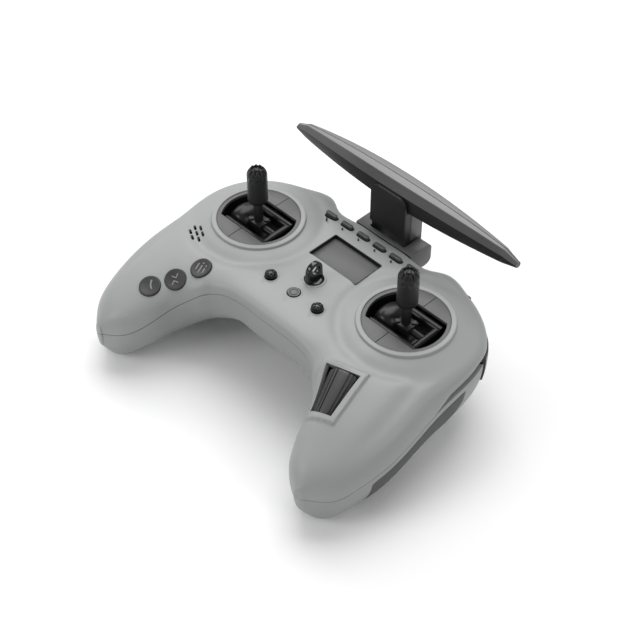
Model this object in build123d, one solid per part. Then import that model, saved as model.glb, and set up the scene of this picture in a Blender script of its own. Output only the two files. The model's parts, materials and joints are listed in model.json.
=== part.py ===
from build123d import *
import math
import os
from typing import NamedTuple

# Hand-held radio transmitter for models: two-stick, gamepad-shaped, with a folding T antenna.
# X runs to the user's right, Y away from the user, Z up.  The origin is the middle of the flat
# rear bay cover's resting height, on the line between the two stick centres.

# ---- overall sizes (mm) ----
BODY_WIDTH = 155.0        # across both handles
HANDLE_REACH = 77.0       # from the stick line to the handle tips
BACK_REACH = 36.5         # from the stick line to the rear shoulders
FACE_HEIGHT = 45.0        # control face above the surface it rests on, and depth of the handles
WALL = 2.2                # shell wall
SEAM = 0.16               # gap between the two shells at the parting line

DRAWN_WIDTH, DRAWN_HANDLE, DRAWN_BACK, DRAWN_DEPTH = 155.0, 77.0, 36.5, 45.0


def on_plan(x, y):
    """Plan point drawn on the 155 mm body, moved along with the driving sizes."""
    return x * (BODY_WIDTH / DRAWN_WIDTH), y * (BACK_REACH / DRAWN_BACK if y > 0 else HANDLE_REACH / DRAWN_HANDLE)


# ---- gimbals ----
GIMBAL_SPACING = 86.0
GIMBAL_HOLE_R = 18.0
RIM_R = GIMBAL_HOLE_R + 2.25      # outside of the raised rim
RIM_HEIGHT = 2.0
FLARE, FLARE_DROP = 5.0, 5.2   # how far the rim flares out, and over what height
GIMBAL_DEPTH = 20.5       # cup below the face
GIMBAL_PIVOT_Z = -2.6
COVER_THICK = 1.5
COVER_TOP = 1.6
COVER_WINDOW_R = GIMBAL_HOLE_R - 1.7
YOKE_HALF_X = GIMBAL_HOLE_R - 5.7
YOKE_HALF_Y = GIMBAL_HOLE_R - 8.7
YOKE_PIN_Y = GIMBAL_HOLE_R - 1.6  # outer ends of the trunnions
COVER_BAND = YOKE_HALF_Y + 0.7    # half width of the slot the stick moves in
YOKE_BAR = 1.9
PIN_R = 1.6
PIN_CLEAR = 0.06
STICK_R = 2.0
GRIP_R = 4.35
GRIP_LENGTH = 17.5
GRIP_START = 13.5         # from the pivot to the underside of the grip
GRIP_TEETH = 8

# ---- centre controls ----
SCREEN_W, SCREEN_H, SCREEN_Y = 27.3, 16.15, 9.2
SCREEN_CORNER = 0.8
WINDOW_LAP = 1.6
WINDOW_THICK = 1.0
DISPLAY_THICK = 3.0
MENU_COUNT, MENU_PITCH, MENU_Y = 6, 9.46, 24.8
MENU_W, MENU_H = 6.6, 2.4
LED_OFFSET, LED_R = 3.1, 0.4
TRIM_X, TRIM_Y = 13.55, -20.45
TRIM_COLLAR_R, TRIM_HOLE_R = 3.4, 2.7
TRIM_DOME_R, TRIM_STEM_R, TRIM_PIVOT = 2.6, 1.15, 5.2
POWER_COLLAR_R, POWER_HOLE_R = 3.7, 2.95
COLLAR_HEIGHT = 0.8
STRAP_Y = -9.0
STRAP_COLLAR_R, STRAP_BASE_R = 5.05, 4.2
STRAP_EYE_R, STRAP_WIDTH, STRAP_THICK, STRAP_TOP = 2.0, 7.0, 2.4, 9.6
FIT = 0.15                # gap all round a cap in its hole
FLANGE = 0.7              # how far a cap's flange reaches past its hole
FLANGE_THICK = 0.8
CAP_RISE = 0.45           # how far a cap stands above the face

# ---- handle controls ----
FUNCTION_POINTS = [on_plan(-39.3, -36.5), on_plan(-44.5, -46.0), on_plan(-50.9, -54.9)]
FUNCTION_R = 4.65
SPEAKER_POINT = on_plan(-56.6, -23.4)
SPEAKER_R, SPEAKER_THICK = 8.5, 3.2
SLOT_L, SLOT_W, SLOT_PITCH, SLOT_ROW = 3.3, 1.15, 3.9, 2.3
SLOT_ANGLE = -30.0
ROLLER_REAR = on_plan(43.0, -35.2)      # middle of the window's rear edge
ROLLER_FRONT = on_plan(48.4, -53.5)     # middle of its front edge
ROLLER_REAR_W, ROLLER_FRONT_W = 14.8, 10.4
ROLLER_RISE = 1.3
ROLLER_LIP = 2.2
ROLLER_RIBS = 18
ROLLER_AXLE_R = 1.5

# ---- boards, battery and case screws ----
BOARD_TOP = -6.6
BOARD_THICK = 1.6
BATTERY = (50.0, 30.0, 9.0)
SCREW_R, SCREW_HEAD_R, SCREW_HEAD_H, SCREW_LENGTH = 1.2, 2.3, 1.6, 11.0
BOSS_R = 3.4
SCREW_POINTS = [on_plan(33.0, 21.5), on_plan(66.0, -1.0), on_plan(62.0, -60.0)]
PAD_FROM_Y, PAD_TO_Y = -6.0, -57.0   # stretch of the handle that the rubber pad covers
PAD_DROP = 2.8            # pad's top edge below the parting line
PAD_LOW = -41.0
PAD_INNER_X = 62.0 * BODY_WIDTH / DRAWN_WIDTH
BAY_HALF_X, BAY_FRONT_Y, BAY_BACK_Y = 30.0, -12.0, 27.0
BAY_CORNER = 7.0
BAY_LIP = 3.0

# ---- shoulder controls ----
SHOULDER_PROUD = 0.9
SHOULDER_TOP, SHOULDER_LOW = -9.5, -22.0
SHOULDER_FROM, SHOULDER_TO = on_plan(54.5, 32.0), on_plan(73.5, 15.6)
ROCKER_POINT = on_plan(41.0, 36.3)
ROCKER_W, ROCKER_H, ROCKER_REACH, ROCKER_LOW = 10.0, 5.0, 1.4, -15.5

USB_POINT = (-33.0, -18.6)           # X and height of the charging port's middle

# ---- antenna ----
HINGE_Y, HINGE_Z = 40.6, -8.5
HINGE_PIN_R = 2.0
HINGE_KNUCKLE_R = 5.2
MAST_HALF_X = 9.8
MAST_FRONT_Y, MAST_BACK_Y = 35.3, 45.4
BRACKET_HALF_X = 16.0
BAR_HALF = 62.8
BAR_LOW = 14.0
BAR_BACK_Y = 44.4
FRONT_PLATE_TOP = 21.5


class Section(NamedTuple):
    """One cut through the body, from its outer edge to its inner edge, seen from above."""
    outer_x: float
    outer_y: float
    inner_x: float
    inner_y: float
    seam_outer: float     # height of the parting line at the outer edge
    seam_inner: float
    top: float
    bottom: float
    top_power: float      # how square the top is (2 is an ellipse)
    bottom_power: float


# Right half, from the middle of the body out to the handle tip, below a face at height 0.
SECTIONS = [
    Section(0, 32, 0, -36, -8, -6, 0, -25, 5, 5),
    Section(14, 32, 10, -36, -8, -6, 0, -25, 5, 5),
    Section(27, 32.5, 18, -36.3, -8, -6, 0, -25, 4.5, 4.5),
    Section(34, 36.3, 22, -36.7, -8.5, -6.5, 0, -27, 4.2, 4.4),
    Section(46, 34, 26.5, -37.7, -9, -7.5, 0, -30, 3.6, 4.0),
    Section(60, 27.3, 30.5, -40, -10, -8.5, 0, -34, 3.1, 3.2),
    Section(71, 17.3, 33, -42.5, -12, -9.5, -0.2, -38, 2.8, 2.7),
    Section(75.2, 2.8, 36, -45, -12.5, -12, -0.8, -40.5, 2.6, 2.4),
    Section(76, -14, 39, -48.5, -14, -14.5, -2, -42.5, 2.5, 2.2),
    Section(77.3, -30, 41.5, -53, -17, -16.8, -4.5, -44, 2.5, 2.1),
    Section(77.2, -46, 43.5, -60, -21.5, -19.5, -8, -45, 2.5, 2.1),
    Section(74.7, -60, 47, -67.5, -25, -23, -12.5, -44.5, 2.4, 2.1),
    Section(69.7, -70, 52.5, -73.5, -27.5, -25, -17.5, -41.5, 2.2, 2.1),
    Section(63.5, -75.5, 58, -76.5, -27, -26, -22, -34.5, 2, 2),
]
OUTLINE_POINTS = 16

GIMBAL_X = GIMBAL_SPACING / 2
INSIDE_TOP = -WALL        # underside of the face where it is flat
SIDES = (("left", -1), ("right", 1))


def scaled(section):
    """The section stretched from the drawn body to the driving sizes."""
    kz = FACE_HEIGHT / DRAWN_DEPTH
    outer_x, outer_y = on_plan(section.outer_x, section.outer_y)
    inner_x, inner_y = on_plan(section.inner_x, section.inner_y)
    return section._replace(
        outer_x=outer_x, inner_x=inner_x, outer_y=outer_y, inner_y=inner_y,
        seam_outer=section.seam_outer * kz, seam_inner=section.seam_inner * kz,
        bottom=section.bottom * kz,
    )


RIGHT = [scaled(s) for s in SECTIONS]
WHOLE = [s._replace(outer_x=-s.outer_x, inner_x=-s.inner_x) for s in RIGHT[:0:-1]] + RIGHT


def half_outline(s, inset, side, gap=0.0):
    """Points over the top (side 1) or under the bottom (side -1) of one section."""
    length = math.hypot(s.inner_x - s.outer_x, s.inner_y - s.outer_y)
    power = s.top_power if side > 0 else s.bottom_power
    middle = (s.seam_outer + s.seam_inner) / 2
    rise = s.top - inset - middle if side > 0 else s.bottom + inset - middle
    points = []
    for k in range(OUTLINE_POINTS + 1):
        angle = math.pi * k / OUTLINE_POINTS
        radius = (abs(math.cos(angle)) ** power + abs(math.sin(angle)) ** power) ** (-1 / power)
        share = (1 - radius * math.cos(angle) * (1 - 2 * inset / length)) / 2
        points.append(Vector(
            s.outer_x + (s.inner_x - s.outer_x) * share,
            s.outer_y + (s.inner_y - s.outer_y) * share,
            s.seam_outer + (s.seam_inner - s.seam_outer) * share + rise * radius * math.sin(angle)
            + side * gap,
        ))
    return points


def smooth_edge(points):
    """Spline through the points, with evenly spaced knots so that all sections match."""
    return Edge.make_spline(points, parameters=[k / OUTLINE_POINTS for k in range(OUTLINE_POINTS + 1)])


def half_wire(s, side):
    """Outline of the upper (1) or lower (-1) half of one section."""
    points = half_outline(s, 0.0, side, SEAM / 2)
    return Wire([smooth_edge(points), Edge.make_line(points[-1], points[0])])


def half_body(side):
    """Right part of the upper (1) or lower (-1) half of the body, cut flat along the parting line."""
    body = Solid.make_loft([half_wire(s, side) for s in WHOLE[1:-1]], False)
    tip = Solid.make_loft([half_wire(s, side) for s in WHOLE[-2:]], True)
    return (body & RIGHT_SPACE) + tip


def whole_body(inset):
    """Closed solid of the body, taken in (or let out) by the inset."""
    wires = []
    for s in WHOLE[1:-1]:
        over = half_outline(s, inset, 1)
        under = half_outline(s, inset, -1)
        wires.append(Wire([smooth_edge(over), smooth_edge(under[::-1])]))
    return Solid.make_loft(wires, False)


def sided(shape, side):
    """The right-hand shape, or its mirror image on the left."""
    return shape if side > 0 else shape.mirror(Plane.YZ)


def cylinder(r, low, high, x=0.0, y=0.0):
    """Upright cylinder between two heights."""
    return Pos(x, y, low) * Cylinder(r, high - low, align=(Align.CENTER, Align.CENTER, Align.MIN))


def block(x0, x1, y0, y1, z0, z1):
    """Box between two corners."""
    return Pos(x0, y0, z0) * Box(x1 - x0, y1 - y0, z1 - z0, align=(Align.MIN,) * 3)


def rod(r, start, end):
    """Round bar from one point to another."""
    a, b = Vector(*start), Vector(*end)
    return Plane(origin=a, z_dir=b - a) * Cylinder(r, (b - a).length,
                                                   align=(Align.CENTER, Align.CENTER, Align.MIN))


def pill(width, height, low, high, x, y):
    """Upright prism with round ends, long along X."""
    sketch = Pos(x, y, low) * SlotOverall(width, height)
    return extrude(sketch, high - low, dir=(0, 0, 1))


def prism(points, low, high):
    """Upright prism on a list of plan points."""
    return extrude(Pos(0, 0, low) * make_face(Polyline(*points, close=True)), high - low, dir=(0, 0, 1))


RIGHT_SPACE = block(0, 300, -300, 300, -300, 300)
UPPER_SOLID = half_body(1)
LOWER_SOLID = half_body(-1)
CAVITY = whole_body(WALL)
MID_WALL = whole_body(1.5)
PAD_FLOOR = whole_body(1.2)


def on_face(x, y):
    """Plane on the upper surface at a plan point, with its Z axis standing out of the surface."""
    hits = UPPER_SOLID.find_intersection_points(Axis((abs(x), y, 60), (0, 0, -1)))
    point, normal = max(hits, key=lambda hit: hit[0].Z)
    flip = -1 if x < 0 else 1
    upright = -1 if normal.Z < 0 else 1
    out = Vector(flip * upright * normal.X, upright * normal.Y, upright * normal.Z)
    return Plane(origin=(flip * point.X, point.Y, point.Z), x_dir=(out.Z, 0, -out.X), z_dir=out)


def turned(r_low, r_high, low, high):
    """Cone frustum or cylinder on the Z axis between two heights."""
    if abs(r_low - r_high) < 1e-6:
        return cylinder(r_low, low, high)
    return Pos(0, 0, low) * Cone(r_low, r_high, high - low, align=(Align.CENTER, Align.CENTER, Align.MIN))


# ---- gimbals ----
def rim_flare(x):
    """Flare that runs from the rim of a stick well down into the face."""
    return Pos(x, 0, 0) * turned(RIM_R + FLARE, RIM_R, 1.0 - FLARE_DROP, 1.0)


def rim_disc(x):
    """Raised rim of a stick well, before the well is cut."""
    return Pos(x, 0, 0) * (cylinder(RIM_R, -1.2, RIM_HEIGHT - 0.5)
                           + turned(RIM_R, RIM_R - 0.5, RIM_HEIGHT - 0.5, RIM_HEIGHT))


def gimbal_housing(x):
    """Round cup that holds the stick mechanism, with bosses for the yoke's trunnions."""
    r = GIMBAL_HOLE_R - 0.2
    top = COVER_TOP - COVER_THICK
    cup = cylinder(r, -GIMBAL_DEPTH, top) - cylinder(r - 1.3, 1.4 - GIMBAL_DEPTH, top)
    for end in (-1, 1):
        boss = block(-3.4, 3.4, 13.4, r - 0.6, GIMBAL_PIVOT_Z - 3.2, top)
        if end < 0:
            boss = boss.mirror(Plane.XZ)
        cup = cup + boss
    cup = cup - rod(PIN_R + PIN_CLEAR, (0, -r + 0.6, GIMBAL_PIVOT_Z), (0, r - 0.6, GIMBAL_PIVOT_Z))
    return Pos(x, 0, 0) * cup


def gimbal_cover(x):
    """Flat disc over the cup, with a slot across it for the stick's travel."""
    low = COVER_TOP - COVER_THICK
    disc = cylinder(GIMBAL_HOLE_R - 0.1, low, COVER_TOP)
    window = cylinder(COVER_WINDOW_R, low - 1, COVER_TOP + 1)
    window = window & block(-30, 30, -COVER_BAND, COVER_BAND, low - 2, COVER_TOP + 2)
    disc = disc - window
    for end in (-1, 1):
        middle = end * (COVER_BAND + 8)
        disc = disc - block(-0.15, 0.15, middle - 8, middle + 8, COVER_TOP - 0.3, COVER_TOP + 1)
    return Pos(x, 0, 0) * disc


def gimbal_yoke(x):
    """Frame that rocks about Y: two side bars, a barrel-shaped cheek and an end wall."""
    z = GIMBAL_PIVOT_Z
    bar_low, bar_high = z - 5.6, z + 2.6
    frame = block(-YOKE_HALF_X, YOKE_HALF_X, -YOKE_HALF_Y, YOKE_HALF_Y, bar_low, bar_high)
    inside = YOKE_HALF_Y - YOKE_BAR
    frame = frame - block(-4.6, YOKE_HALF_X - 3.4, -inside, inside, bar_low - 1, bar_high + 1)
    frame = frame - block(-YOKE_HALF_X - 1, -4.6, -inside, inside, z, bar_high + 1)
    barrel_r = (YOKE_HALF_X - 4.3) / 2
    barrel_x = -4.0 - barrel_r
    frame = frame + rod(barrel_r, (barrel_x, -inside, z + 0.2), (barrel_x, inside, z + 0.2))
    for end in (-1, 1):
        frame = frame + rod(PIN_R, (0, end * inside, z), (0, end * YOKE_PIN_Y, z))
    frame = frame - rod(PIN_R + PIN_CLEAR, (1.8 - YOKE_HALF_X, 0, z), (YOKE_HALF_X - 0.8, 0, z))
    return Pos(x, 0, 0) * frame


def stick_shaft(x):
    """Rod with its hub block and the cross pin it rocks on, about X."""
    z = GIMBAL_PIVOT_Z
    hub = block(-3.9, 3.9, -3.2, 3.2, z - 4.4, z + 2.8)
    hub = hub + rod(PIN_R, (2.0 - YOKE_HALF_X, 0, z), (YOKE_HALF_X - 1.0, 0, z))
    hub = hub + cylinder(STICK_R, z + 2.8, z + GRIP_START + GRIP_LENGTH - 2.0)
    for y in (-1.9, 1.9):
        hub = hub + cylinder(1.1, z + 2.8, z + 3.5, -2.7 if y < 0 else 2.7, y)
    return Pos(x, 0, 0) * hub


def stick_grip(x):
    """Knurled grip with a crown of teeth, screwed on the rod."""
    low = GIMBAL_PIVOT_Z + GRIP_START
    high = low + GRIP_LENGTH
    grip = turned(GRIP_R - 0.5, GRIP_R, low, low + 0.8) + cylinder(GRIP_R, low + 0.8, high - 2.6)
    grip = grip + turned(GRIP_R, GRIP_R - 1.5, high - 2.6, high)
    grip = grip - cylinder(GRIP_R - 2.4, high - 1.6, high + 1) - cylinder(STICK_R, low - 1, high - 2.0)
    for k in range(GRIP_TEETH):
        notch = Rot(0, 0, 360 * k / GRIP_TEETH) * block(1.2, GRIP_R + 1, -0.45, 0.45, high - 1.5, high + 1)
        grip = grip - notch
    return Pos(x, 0, 0) * grip


# ---- centre controls ----
def collar(x, y, outer):
    """Raised boss around a small control, flared at its foot."""
    body = turned(outer + 1.3, outer, -0.3, 0.35) + cylinder(outer, 0.35, COLLAR_HEIGHT) + cylinder(
        outer + 1.3, INSIDE_TOP + 0.4, -0.3)
    return Pos(x, y, 0) * body


def menu_x(k):
    """X of one key in the row behind the screen."""
    return (k - (MENU_COUNT - 1) / 2) * MENU_PITCH


def menu_button(k):
    """Pill-shaped key with a flange that keeps it in."""
    x = menu_x(k)
    cap = pill(MENU_W, MENU_H, INSIDE_TOP - FLANGE_THICK, CAP_RISE, x, MENU_Y)
    flange_top = INSIDE_TOP - 0.05
    return cap + pill(MENU_W + 2 * FLANGE, MENU_H + 2 * FLANGE, flange_top - FLANGE_THICK, flange_top, x, MENU_Y)


def led_guides():
    """Clear pins that carry each lamp's light to the face."""
    return [cylinder(LED_R, BOARD_TOP, 0, menu_x(k), MENU_Y - LED_OFFSET) for k in range(MENU_COUNT)]


def round_cap(r, rise):
    """Round key on the Z axis, flush with a face at 0 but for its rise, with a flange below."""
    flange_top = INSIDE_TOP - 0.15
    cap = cylinder(r, flange_top - FLANGE_THICK, rise - 0.3) + turned(r, r - 0.3, rise - 0.3, rise)
    return cap + cylinder(r + FLANGE, flange_top - FLANGE_THICK, flange_top)


def function_button(point):
    """Dished round key on the handle, square to the surface there."""
    dish = Pos(0, 0, CAP_RISE + 29.75) * Sphere(30)
    return on_face(*point) * (round_cap(FUNCTION_R, CAP_RISE) - dish)


def power_button():
    """Power key in its collar."""
    return Pos(0, TRIM_Y, 0) * (round_cap(POWER_HOLE_R - FIT, COLLAR_HEIGHT + 0.3)
                                - cylinder(2.0, COLLAR_HEIGHT + 0.15, COLLAR_HEIGHT + 1))


def trim_hat(x):
    """Small thumb hat: toothed dome on a thin stem with a ball foot."""
    low = COLLAR_HEIGHT + 0.4
    dome = turned(TRIM_DOME_R, TRIM_DOME_R - 0.3, low, low + 0.9) + turned(TRIM_DOME_R - 0.3, 1.5, low + 0.9, low + 2.0)
    for k in range(8):
        dome = dome - Rot(0, 0, 45 * k) * block(0.9, 3, -0.25, 0.25, low + 1.3, low + 3)
    stem = cylinder(TRIM_STEM_R, -TRIM_PIVOT, low) + Pos(0, 0, -TRIM_PIVOT) * Sphere(1.7)
    return Pos(x, TRIM_Y, 0) * (dome + stem)


def trim_cradle(x):
    """Ring that lets the hat tilt two ways."""
    z = -TRIM_PIVOT
    ring = cylinder(3.0, z - 0.8, z + 0.8) - Pos(0, 0, z) * Sphere(1.8) - cylinder(1.7, z - 1, z + 1)
    return Pos(x, TRIM_Y, 0) * ring


def trim_socket(x):
    """Cup on the board that the cradle sits in."""
    z = -TRIM_PIVOT
    floor = z - 2.6
    cup = cylinder(4.2, floor, z + 1.0) - cylinder(3.4, floor + 0.7, z + 2)
    return Pos(x, TRIM_Y, 0) * cup


def strap_eye():
    """Neck-strap eye: arched plate with a cross hole, on a round foot."""
    foot = cylinder(STRAP_BASE_R, INSIDE_TOP, 0.6)
    half = STRAP_WIDTH / 2
    with BuildSketch(Plane.YZ) as arch:
        with BuildLine():
            Polyline((-half, 0.6), (-half, STRAP_TOP - half))
            ThreePointArc((-half, STRAP_TOP - half), (0, STRAP_TOP), (half, STRAP_TOP - half))
            Polyline((half, STRAP_TOP - half), (half, 0.6), (-half, 0.6))
        make_face()
        with Locations((0, STRAP_TOP - half)):
            Circle(STRAP_EYE_R, mode=Mode.SUBTRACT)
    plate = extrude(arch.sketch, STRAP_THICK / 2, both=True)
    plate = fillet(plate.edges().filter_by(GeomType.CIRCLE).group_by(SortBy.RADIUS)[-1], 0.5)
    return Pos(0, STRAP_Y, 0) * (foot + plate)


def window_space(extra):
    """Space of the clear window behind the face's opening, let out by the extra."""
    w, h = SCREEN_W / 2 + WINDOW_LAP + extra, SCREEN_H / 2 + WINDOW_LAP + extra
    return block(-w, w, SCREEN_Y - h, SCREEN_Y + h, INSIDE_TOP - WINDOW_THICK, INSIDE_TOP)


def display_window():
    """Clear window lapped behind the face's opening."""
    return window_space(0.0)


def display_module():
    """Display panel under the window."""
    w, h = SCREEN_W / 2 + 1.0, SCREEN_H / 2 + 1.0
    top = INSIDE_TOP - WINDOW_THICK
    return block(-w, w, SCREEN_Y - h, SCREEN_Y + h, top - DISPLAY_THICK, top)


# ---- handle controls ----
def roller_frame():
    """Plane at the middle of the roller window: X across the handle, Y along the axle, Z out."""
    rear, front = on_face(*ROLLER_REAR).origin, on_face(*ROLLER_FRONT).origin
    middle = (rear + front) / 2
    surface = on_face(middle.X, middle.Y)
    along = (rear - front).normalized()
    out = (surface.z_dir - along * surface.z_dir.dot(along)).normalized()
    length = (rear - front).length
    return Plane(origin=middle, x_dir=along.cross(out), z_dir=out), length


ROLLER_PLANE, ROLLER_WINDOW_L = roller_frame()
ROLLER_REAR_R = ROLLER_REAR_W / 2 - 0.3
ROLLER_FRONT_R = ROLLER_FRONT_W / 2 - 0.2
ROLLER_HALF = ROLLER_WINDOW_L / 2 - 0.4
ROLLER_SINK = (ROLLER_REAR_R + ROLLER_FRONT_R) / 2 - ROLLER_RISE


def roller_outline(extra, low, high):
    """Prism of the roller's window, let out by the extra, in the roller's frame."""
    a, b, half = ROLLER_FRONT_W / 2 + extra, ROLLER_REAR_W / 2 + extra, ROLLER_WINDOW_L / 2 + extra
    return prism([(-a, -half), (a, -half), (b, half), (-b, half)], low, high)


def roller_wheel():
    """Tapered ribbed drum on its axle."""
    axis = Plane(origin=(0, -ROLLER_HALF, -ROLLER_SINK), x_dir=(1, 0, 0), z_dir=(0, 1, 0))
    length = 2 * ROLLER_HALF
    drum = turned(ROLLER_FRONT_R, ROLLER_REAR_R, 0, length)
    slope = math.degrees(math.atan2(ROLLER_REAR_R - ROLLER_FRONT_R, length))
    for k in range(ROLLER_RIBS):
        groove = Pos(ROLLER_FRONT_R, 0, 0) * Rot(0, slope, 0) * Box(1.0, 0.7, 3 * length)
        drum = drum - Rot(0, 0, 360 * k / ROLLER_RIBS) * groove
    drum = drum + cylinder(ROLLER_AXLE_R, -2.4, length + 2.4)
    return ROLLER_PLANE * axis * drum


def roller_ear(end, extra):
    """Space of one axle bracket, let out by the extra, in the roller's frame."""
    y = end * (ROLLER_HALF + 1.8)
    half, thick = 3.2 + extra, 0.7 + extra
    return block(-half, half, y - thick, y + thick, -ROLLER_SINK - half, -ROLLER_SINK + half)


def roller_bearings():
    """Two brackets that hold the roller's axle, one at each end."""
    bore = rod(ROLLER_AXLE_R + PIN_CLEAR, (0, -30, -ROLLER_SINK), (0, 30, -ROLLER_SINK))
    return [ROLLER_PLANE * (roller_ear(end, 0.0) - bore) for end in (-1, 1)]


def speaker_slots():
    """Seven short sound slots in rows of two, three and two."""
    plane = on_face(*SPEAKER_POINT)
    slots = []
    for row, count in ((-1, 2), (0, 3), (1, 2)):
        for k in range(count):
            along = (k - (count - 1) / 2) * SLOT_PITCH
            hole = extrude(Pos(along, row * SLOT_ROW, -6) * SlotOverall(SLOT_L, SLOT_W), 12, dir=(0, 0, 1))
            slots.append(plane * Rot(0, 0, SLOT_ANGLE) * hole)
    return slots


def speaker():
    """Small round speaker behind the slots."""
    low = -WALL - 1.2 - SPEAKER_THICK
    can = cylinder(SPEAKER_R, low, -WALL - 1.2) - cylinder(SPEAKER_R - 1.2, -WALL - 1.9, -WALL - 1)
    return on_face(*SPEAKER_POINT) * can


# ---- case, boards and battery ----
def screw_spots():
    """Plan points of the right-hand case screws, with each one's parting height."""
    spots = []
    for x, y in SCREW_POINTS:
        hits = LOWER_SOLID.find_intersection_points(Axis((x, y, -100), (0, 0, 1)))
        spots.append((x, y, max(hit[0].Z for hit in hits)))
    return spots


SCREWS = screw_spots()


def case_screws():
    """Six self-tapping case screws, heads down."""
    screws = []
    for x, y, seam in SCREWS:
        head = cylinder(SCREW_HEAD_R, seam - 8 - SCREW_HEAD_H, seam - 8, x, y)
        socket = cylinder(1.0, seam - 8 - SCREW_HEAD_H - 1, seam - 8 - SCREW_HEAD_H + 0.9, x, y)
        screw = head + cylinder(SCREW_R, seam - 8, seam - 8 + SCREW_LENGTH, x, y) - socket
        screws += [screw, screw.mirror(Plane.YZ)]
    return screws


def seam_at(y):
    """Height of the parting line on the outside of the handle at y."""
    for a, b in zip(RIGHT[3:], RIGHT[4:]):
        if b.outer_y <= y:
            share = (a.outer_y - y) / (a.outer_y - b.outer_y)
            return a.seam_outer + (b.seam_outer - a.seam_outer) * share
    return RIGHT[-1].seam_outer


def pad_region(extra):
    """Space of the right grip pad: below the parting line, on the outside of the handle."""
    spots = [PAD_FROM_Y + (PAD_TO_Y - PAD_FROM_Y) * k / 8 for k in range(9)]
    top = [(y, seam_at(y) - PAD_DROP + extra) for y in spots]
    first, last = top[0], top[-1]
    outline = [(first[0] + 6 + extra, first[1] - 2.0)] + top
    outline += [(last[0] - extra, PAD_LOW + 4), (last[0] + 8, PAD_LOW - extra), (first[0] - 12, PAD_LOW - extra)]
    side_view = extrude(Plane.YZ * make_face(Polyline(*outline, close=True)), BODY_WIDTH, dir=(1, 0, 0))
    return side_view & block(PAD_INNER_X - extra, BODY_WIDTH, -200, 200, -100, 50)


def grip_pad(side):
    """Soft rubber pad let into the outside of a handle."""
    pad = (LOWER_SOLID & pad_region(0.0)) - PAD_FLOOR
    return sided(pad.solids().sort_by(SortBy.VOLUME)[-1], side)


def shoulder_region(extra, depth):
    """Space of the right shoulder button, following the case's corner from rear to side."""
    (x0, y0), (x1, y1) = SHOULDER_FROM, SHOULDER_TO
    run = Vector(x1 - x0, y1 - y0, 0).normalized()
    out = Vector(-run.Y, run.X, 0)
    a, b = Vector(x0, y0, 0) - run * extra, Vector(x1, y1, 0) + run * extra
    corners = [a - out * depth, b - out * depth, b + out * 12, a + out * 12]
    return prism([(p.X, p.Y) for p in corners], SHOULDER_LOW - extra, SHOULDER_TOP + extra)


def shoulder_button(side):
    """Momentary button wrapped round the shoulder."""
    skin = shoulder_region(0.0, 6) & whole_body(-SHOULDER_PROUD)
    return sided(skin - whole_body(1.3), side)


def rocker_block(extra, depth, reach):
    """Space of the right shoulder switch, let out by the extra."""
    x, y = ROCKER_POINT
    low = ROCKER_LOW - extra
    half = ROCKER_W / 2 + extra
    return block(x - half, x + half, y - depth, y + reach, low, low + ROCKER_H + 2 * extra)


def shoulder_rocker(side):
    """Small switch on the back of the shoulder."""
    cap = rocker_block(0.0, 5.5, ROCKER_REACH)
    return sided(fillet(cap.edges().filter_by(Axis.Z).sort_by(Axis.Y)[-2:], 1.2), side)


def bay_outline(inset, low, high):
    """Rounded rectangle of the rear bay, as a prism."""
    w, h = 2 * (BAY_HALF_X - inset), BAY_BACK_Y - BAY_FRONT_Y - 2 * inset
    sketch = Pos(0, (BAY_BACK_Y + BAY_FRONT_Y) / 2, low) * RectangleRounded(w, h, BAY_CORNER - inset / 2)
    return extrude(sketch, high - low, dir=(0, 0, 1))


BAY_FLOOR = -FACE_HEIGHT
BAY_EDGE = RIGHT[0].bottom - BAY_LIP


def module_bay_cover():
    """Tray-shaped cover of the rear bay, with the flat base the transmitter rests on."""
    tray = bay_outline(0, BAY_FLOOR, BAY_EDGE - 0.1)
    tray = chamfer(tray.faces().sort_by(Axis.Z)[0].edges(), 1.2)
    return tray - bay_outline(2.0, BAY_FLOOR + 2.0, BAY_EDGE + 5)


def lower_shell():
    """Rear half of the case, with the collar of the rear bay."""
    top = RIGHT[0].bottom + 1.0
    collar_ring = bay_outline(0, BAY_EDGE, top) & block(0, 200, -200, 200, -200, 200)
    shell = LOWER_SOLID + collar_ring - CAVITY
    shell = shell - bay_outline(2.4, BAY_EDGE - 1, top + 7.0)
    shell = shell - (pad_region(0.08) - PAD_FLOOR)
    shell = shell - shoulder_region(FIT + 0.05, 8) - rocker_block(FIT, 6.5, 8)
    for x, y, seam in SCREWS:
        shell = shell + (cylinder(BOSS_R + 0.6, -80, seam - SEAM, x, y) & MID_WALL)
        shell = shell - cylinder(SCREW_R + 0.15, -80, seam + 2, x, y)
        shell = shell - cylinder(SCREW_HEAD_R + 0.3, -80, seam - 8, x, y)
    return shell + shell.mirror(Plane.YZ) - usb_opening(0.1)


def half_face():
    """Right half of the upper shell, with everything that is alike on both sides."""
    outside = UPPER_SOLID + rim_flare(GIMBAL_X) + collar(TRIM_X, TRIM_Y, TRIM_COLLAR_R)
    shell = outside - CAVITY + rim_disc(GIMBAL_X)
    shell = shell - cylinder(GIMBAL_HOLE_R, -40, 10, GIMBAL_X, 0)
    shell = shell - cylinder(TRIM_HOLE_R, -10, 10, TRIM_X, TRIM_Y)
    shell = shell - shoulder_region(FIT + 0.05, 8) - rocker_block(FIT, 6.5, 8)
    for k in range(MENU_COUNT // 2, MENU_COUNT):
        shell = shell - pill(MENU_W + 2 * FIT, MENU_H + 2 * FIT, -6, 3, menu_x(k), MENU_Y)
        reach = 2 * (FLANGE + FIT)
        shell = shell - pill(MENU_W + reach, MENU_H + reach, -6, INSIDE_TOP, menu_x(k), MENU_Y)
        shell = shell - cylinder(LED_R, -6, 3, menu_x(k), MENU_Y - LED_OFFSET)
    for x, y, seam in SCREWS:
        shell = shell + (cylinder(BOSS_R, seam + 0.2, 0, x, y) & MID_WALL)
        shell = shell - cylinder(SCREW_R, seam - 4, seam + 5.0, x, y)
    return shell


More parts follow.
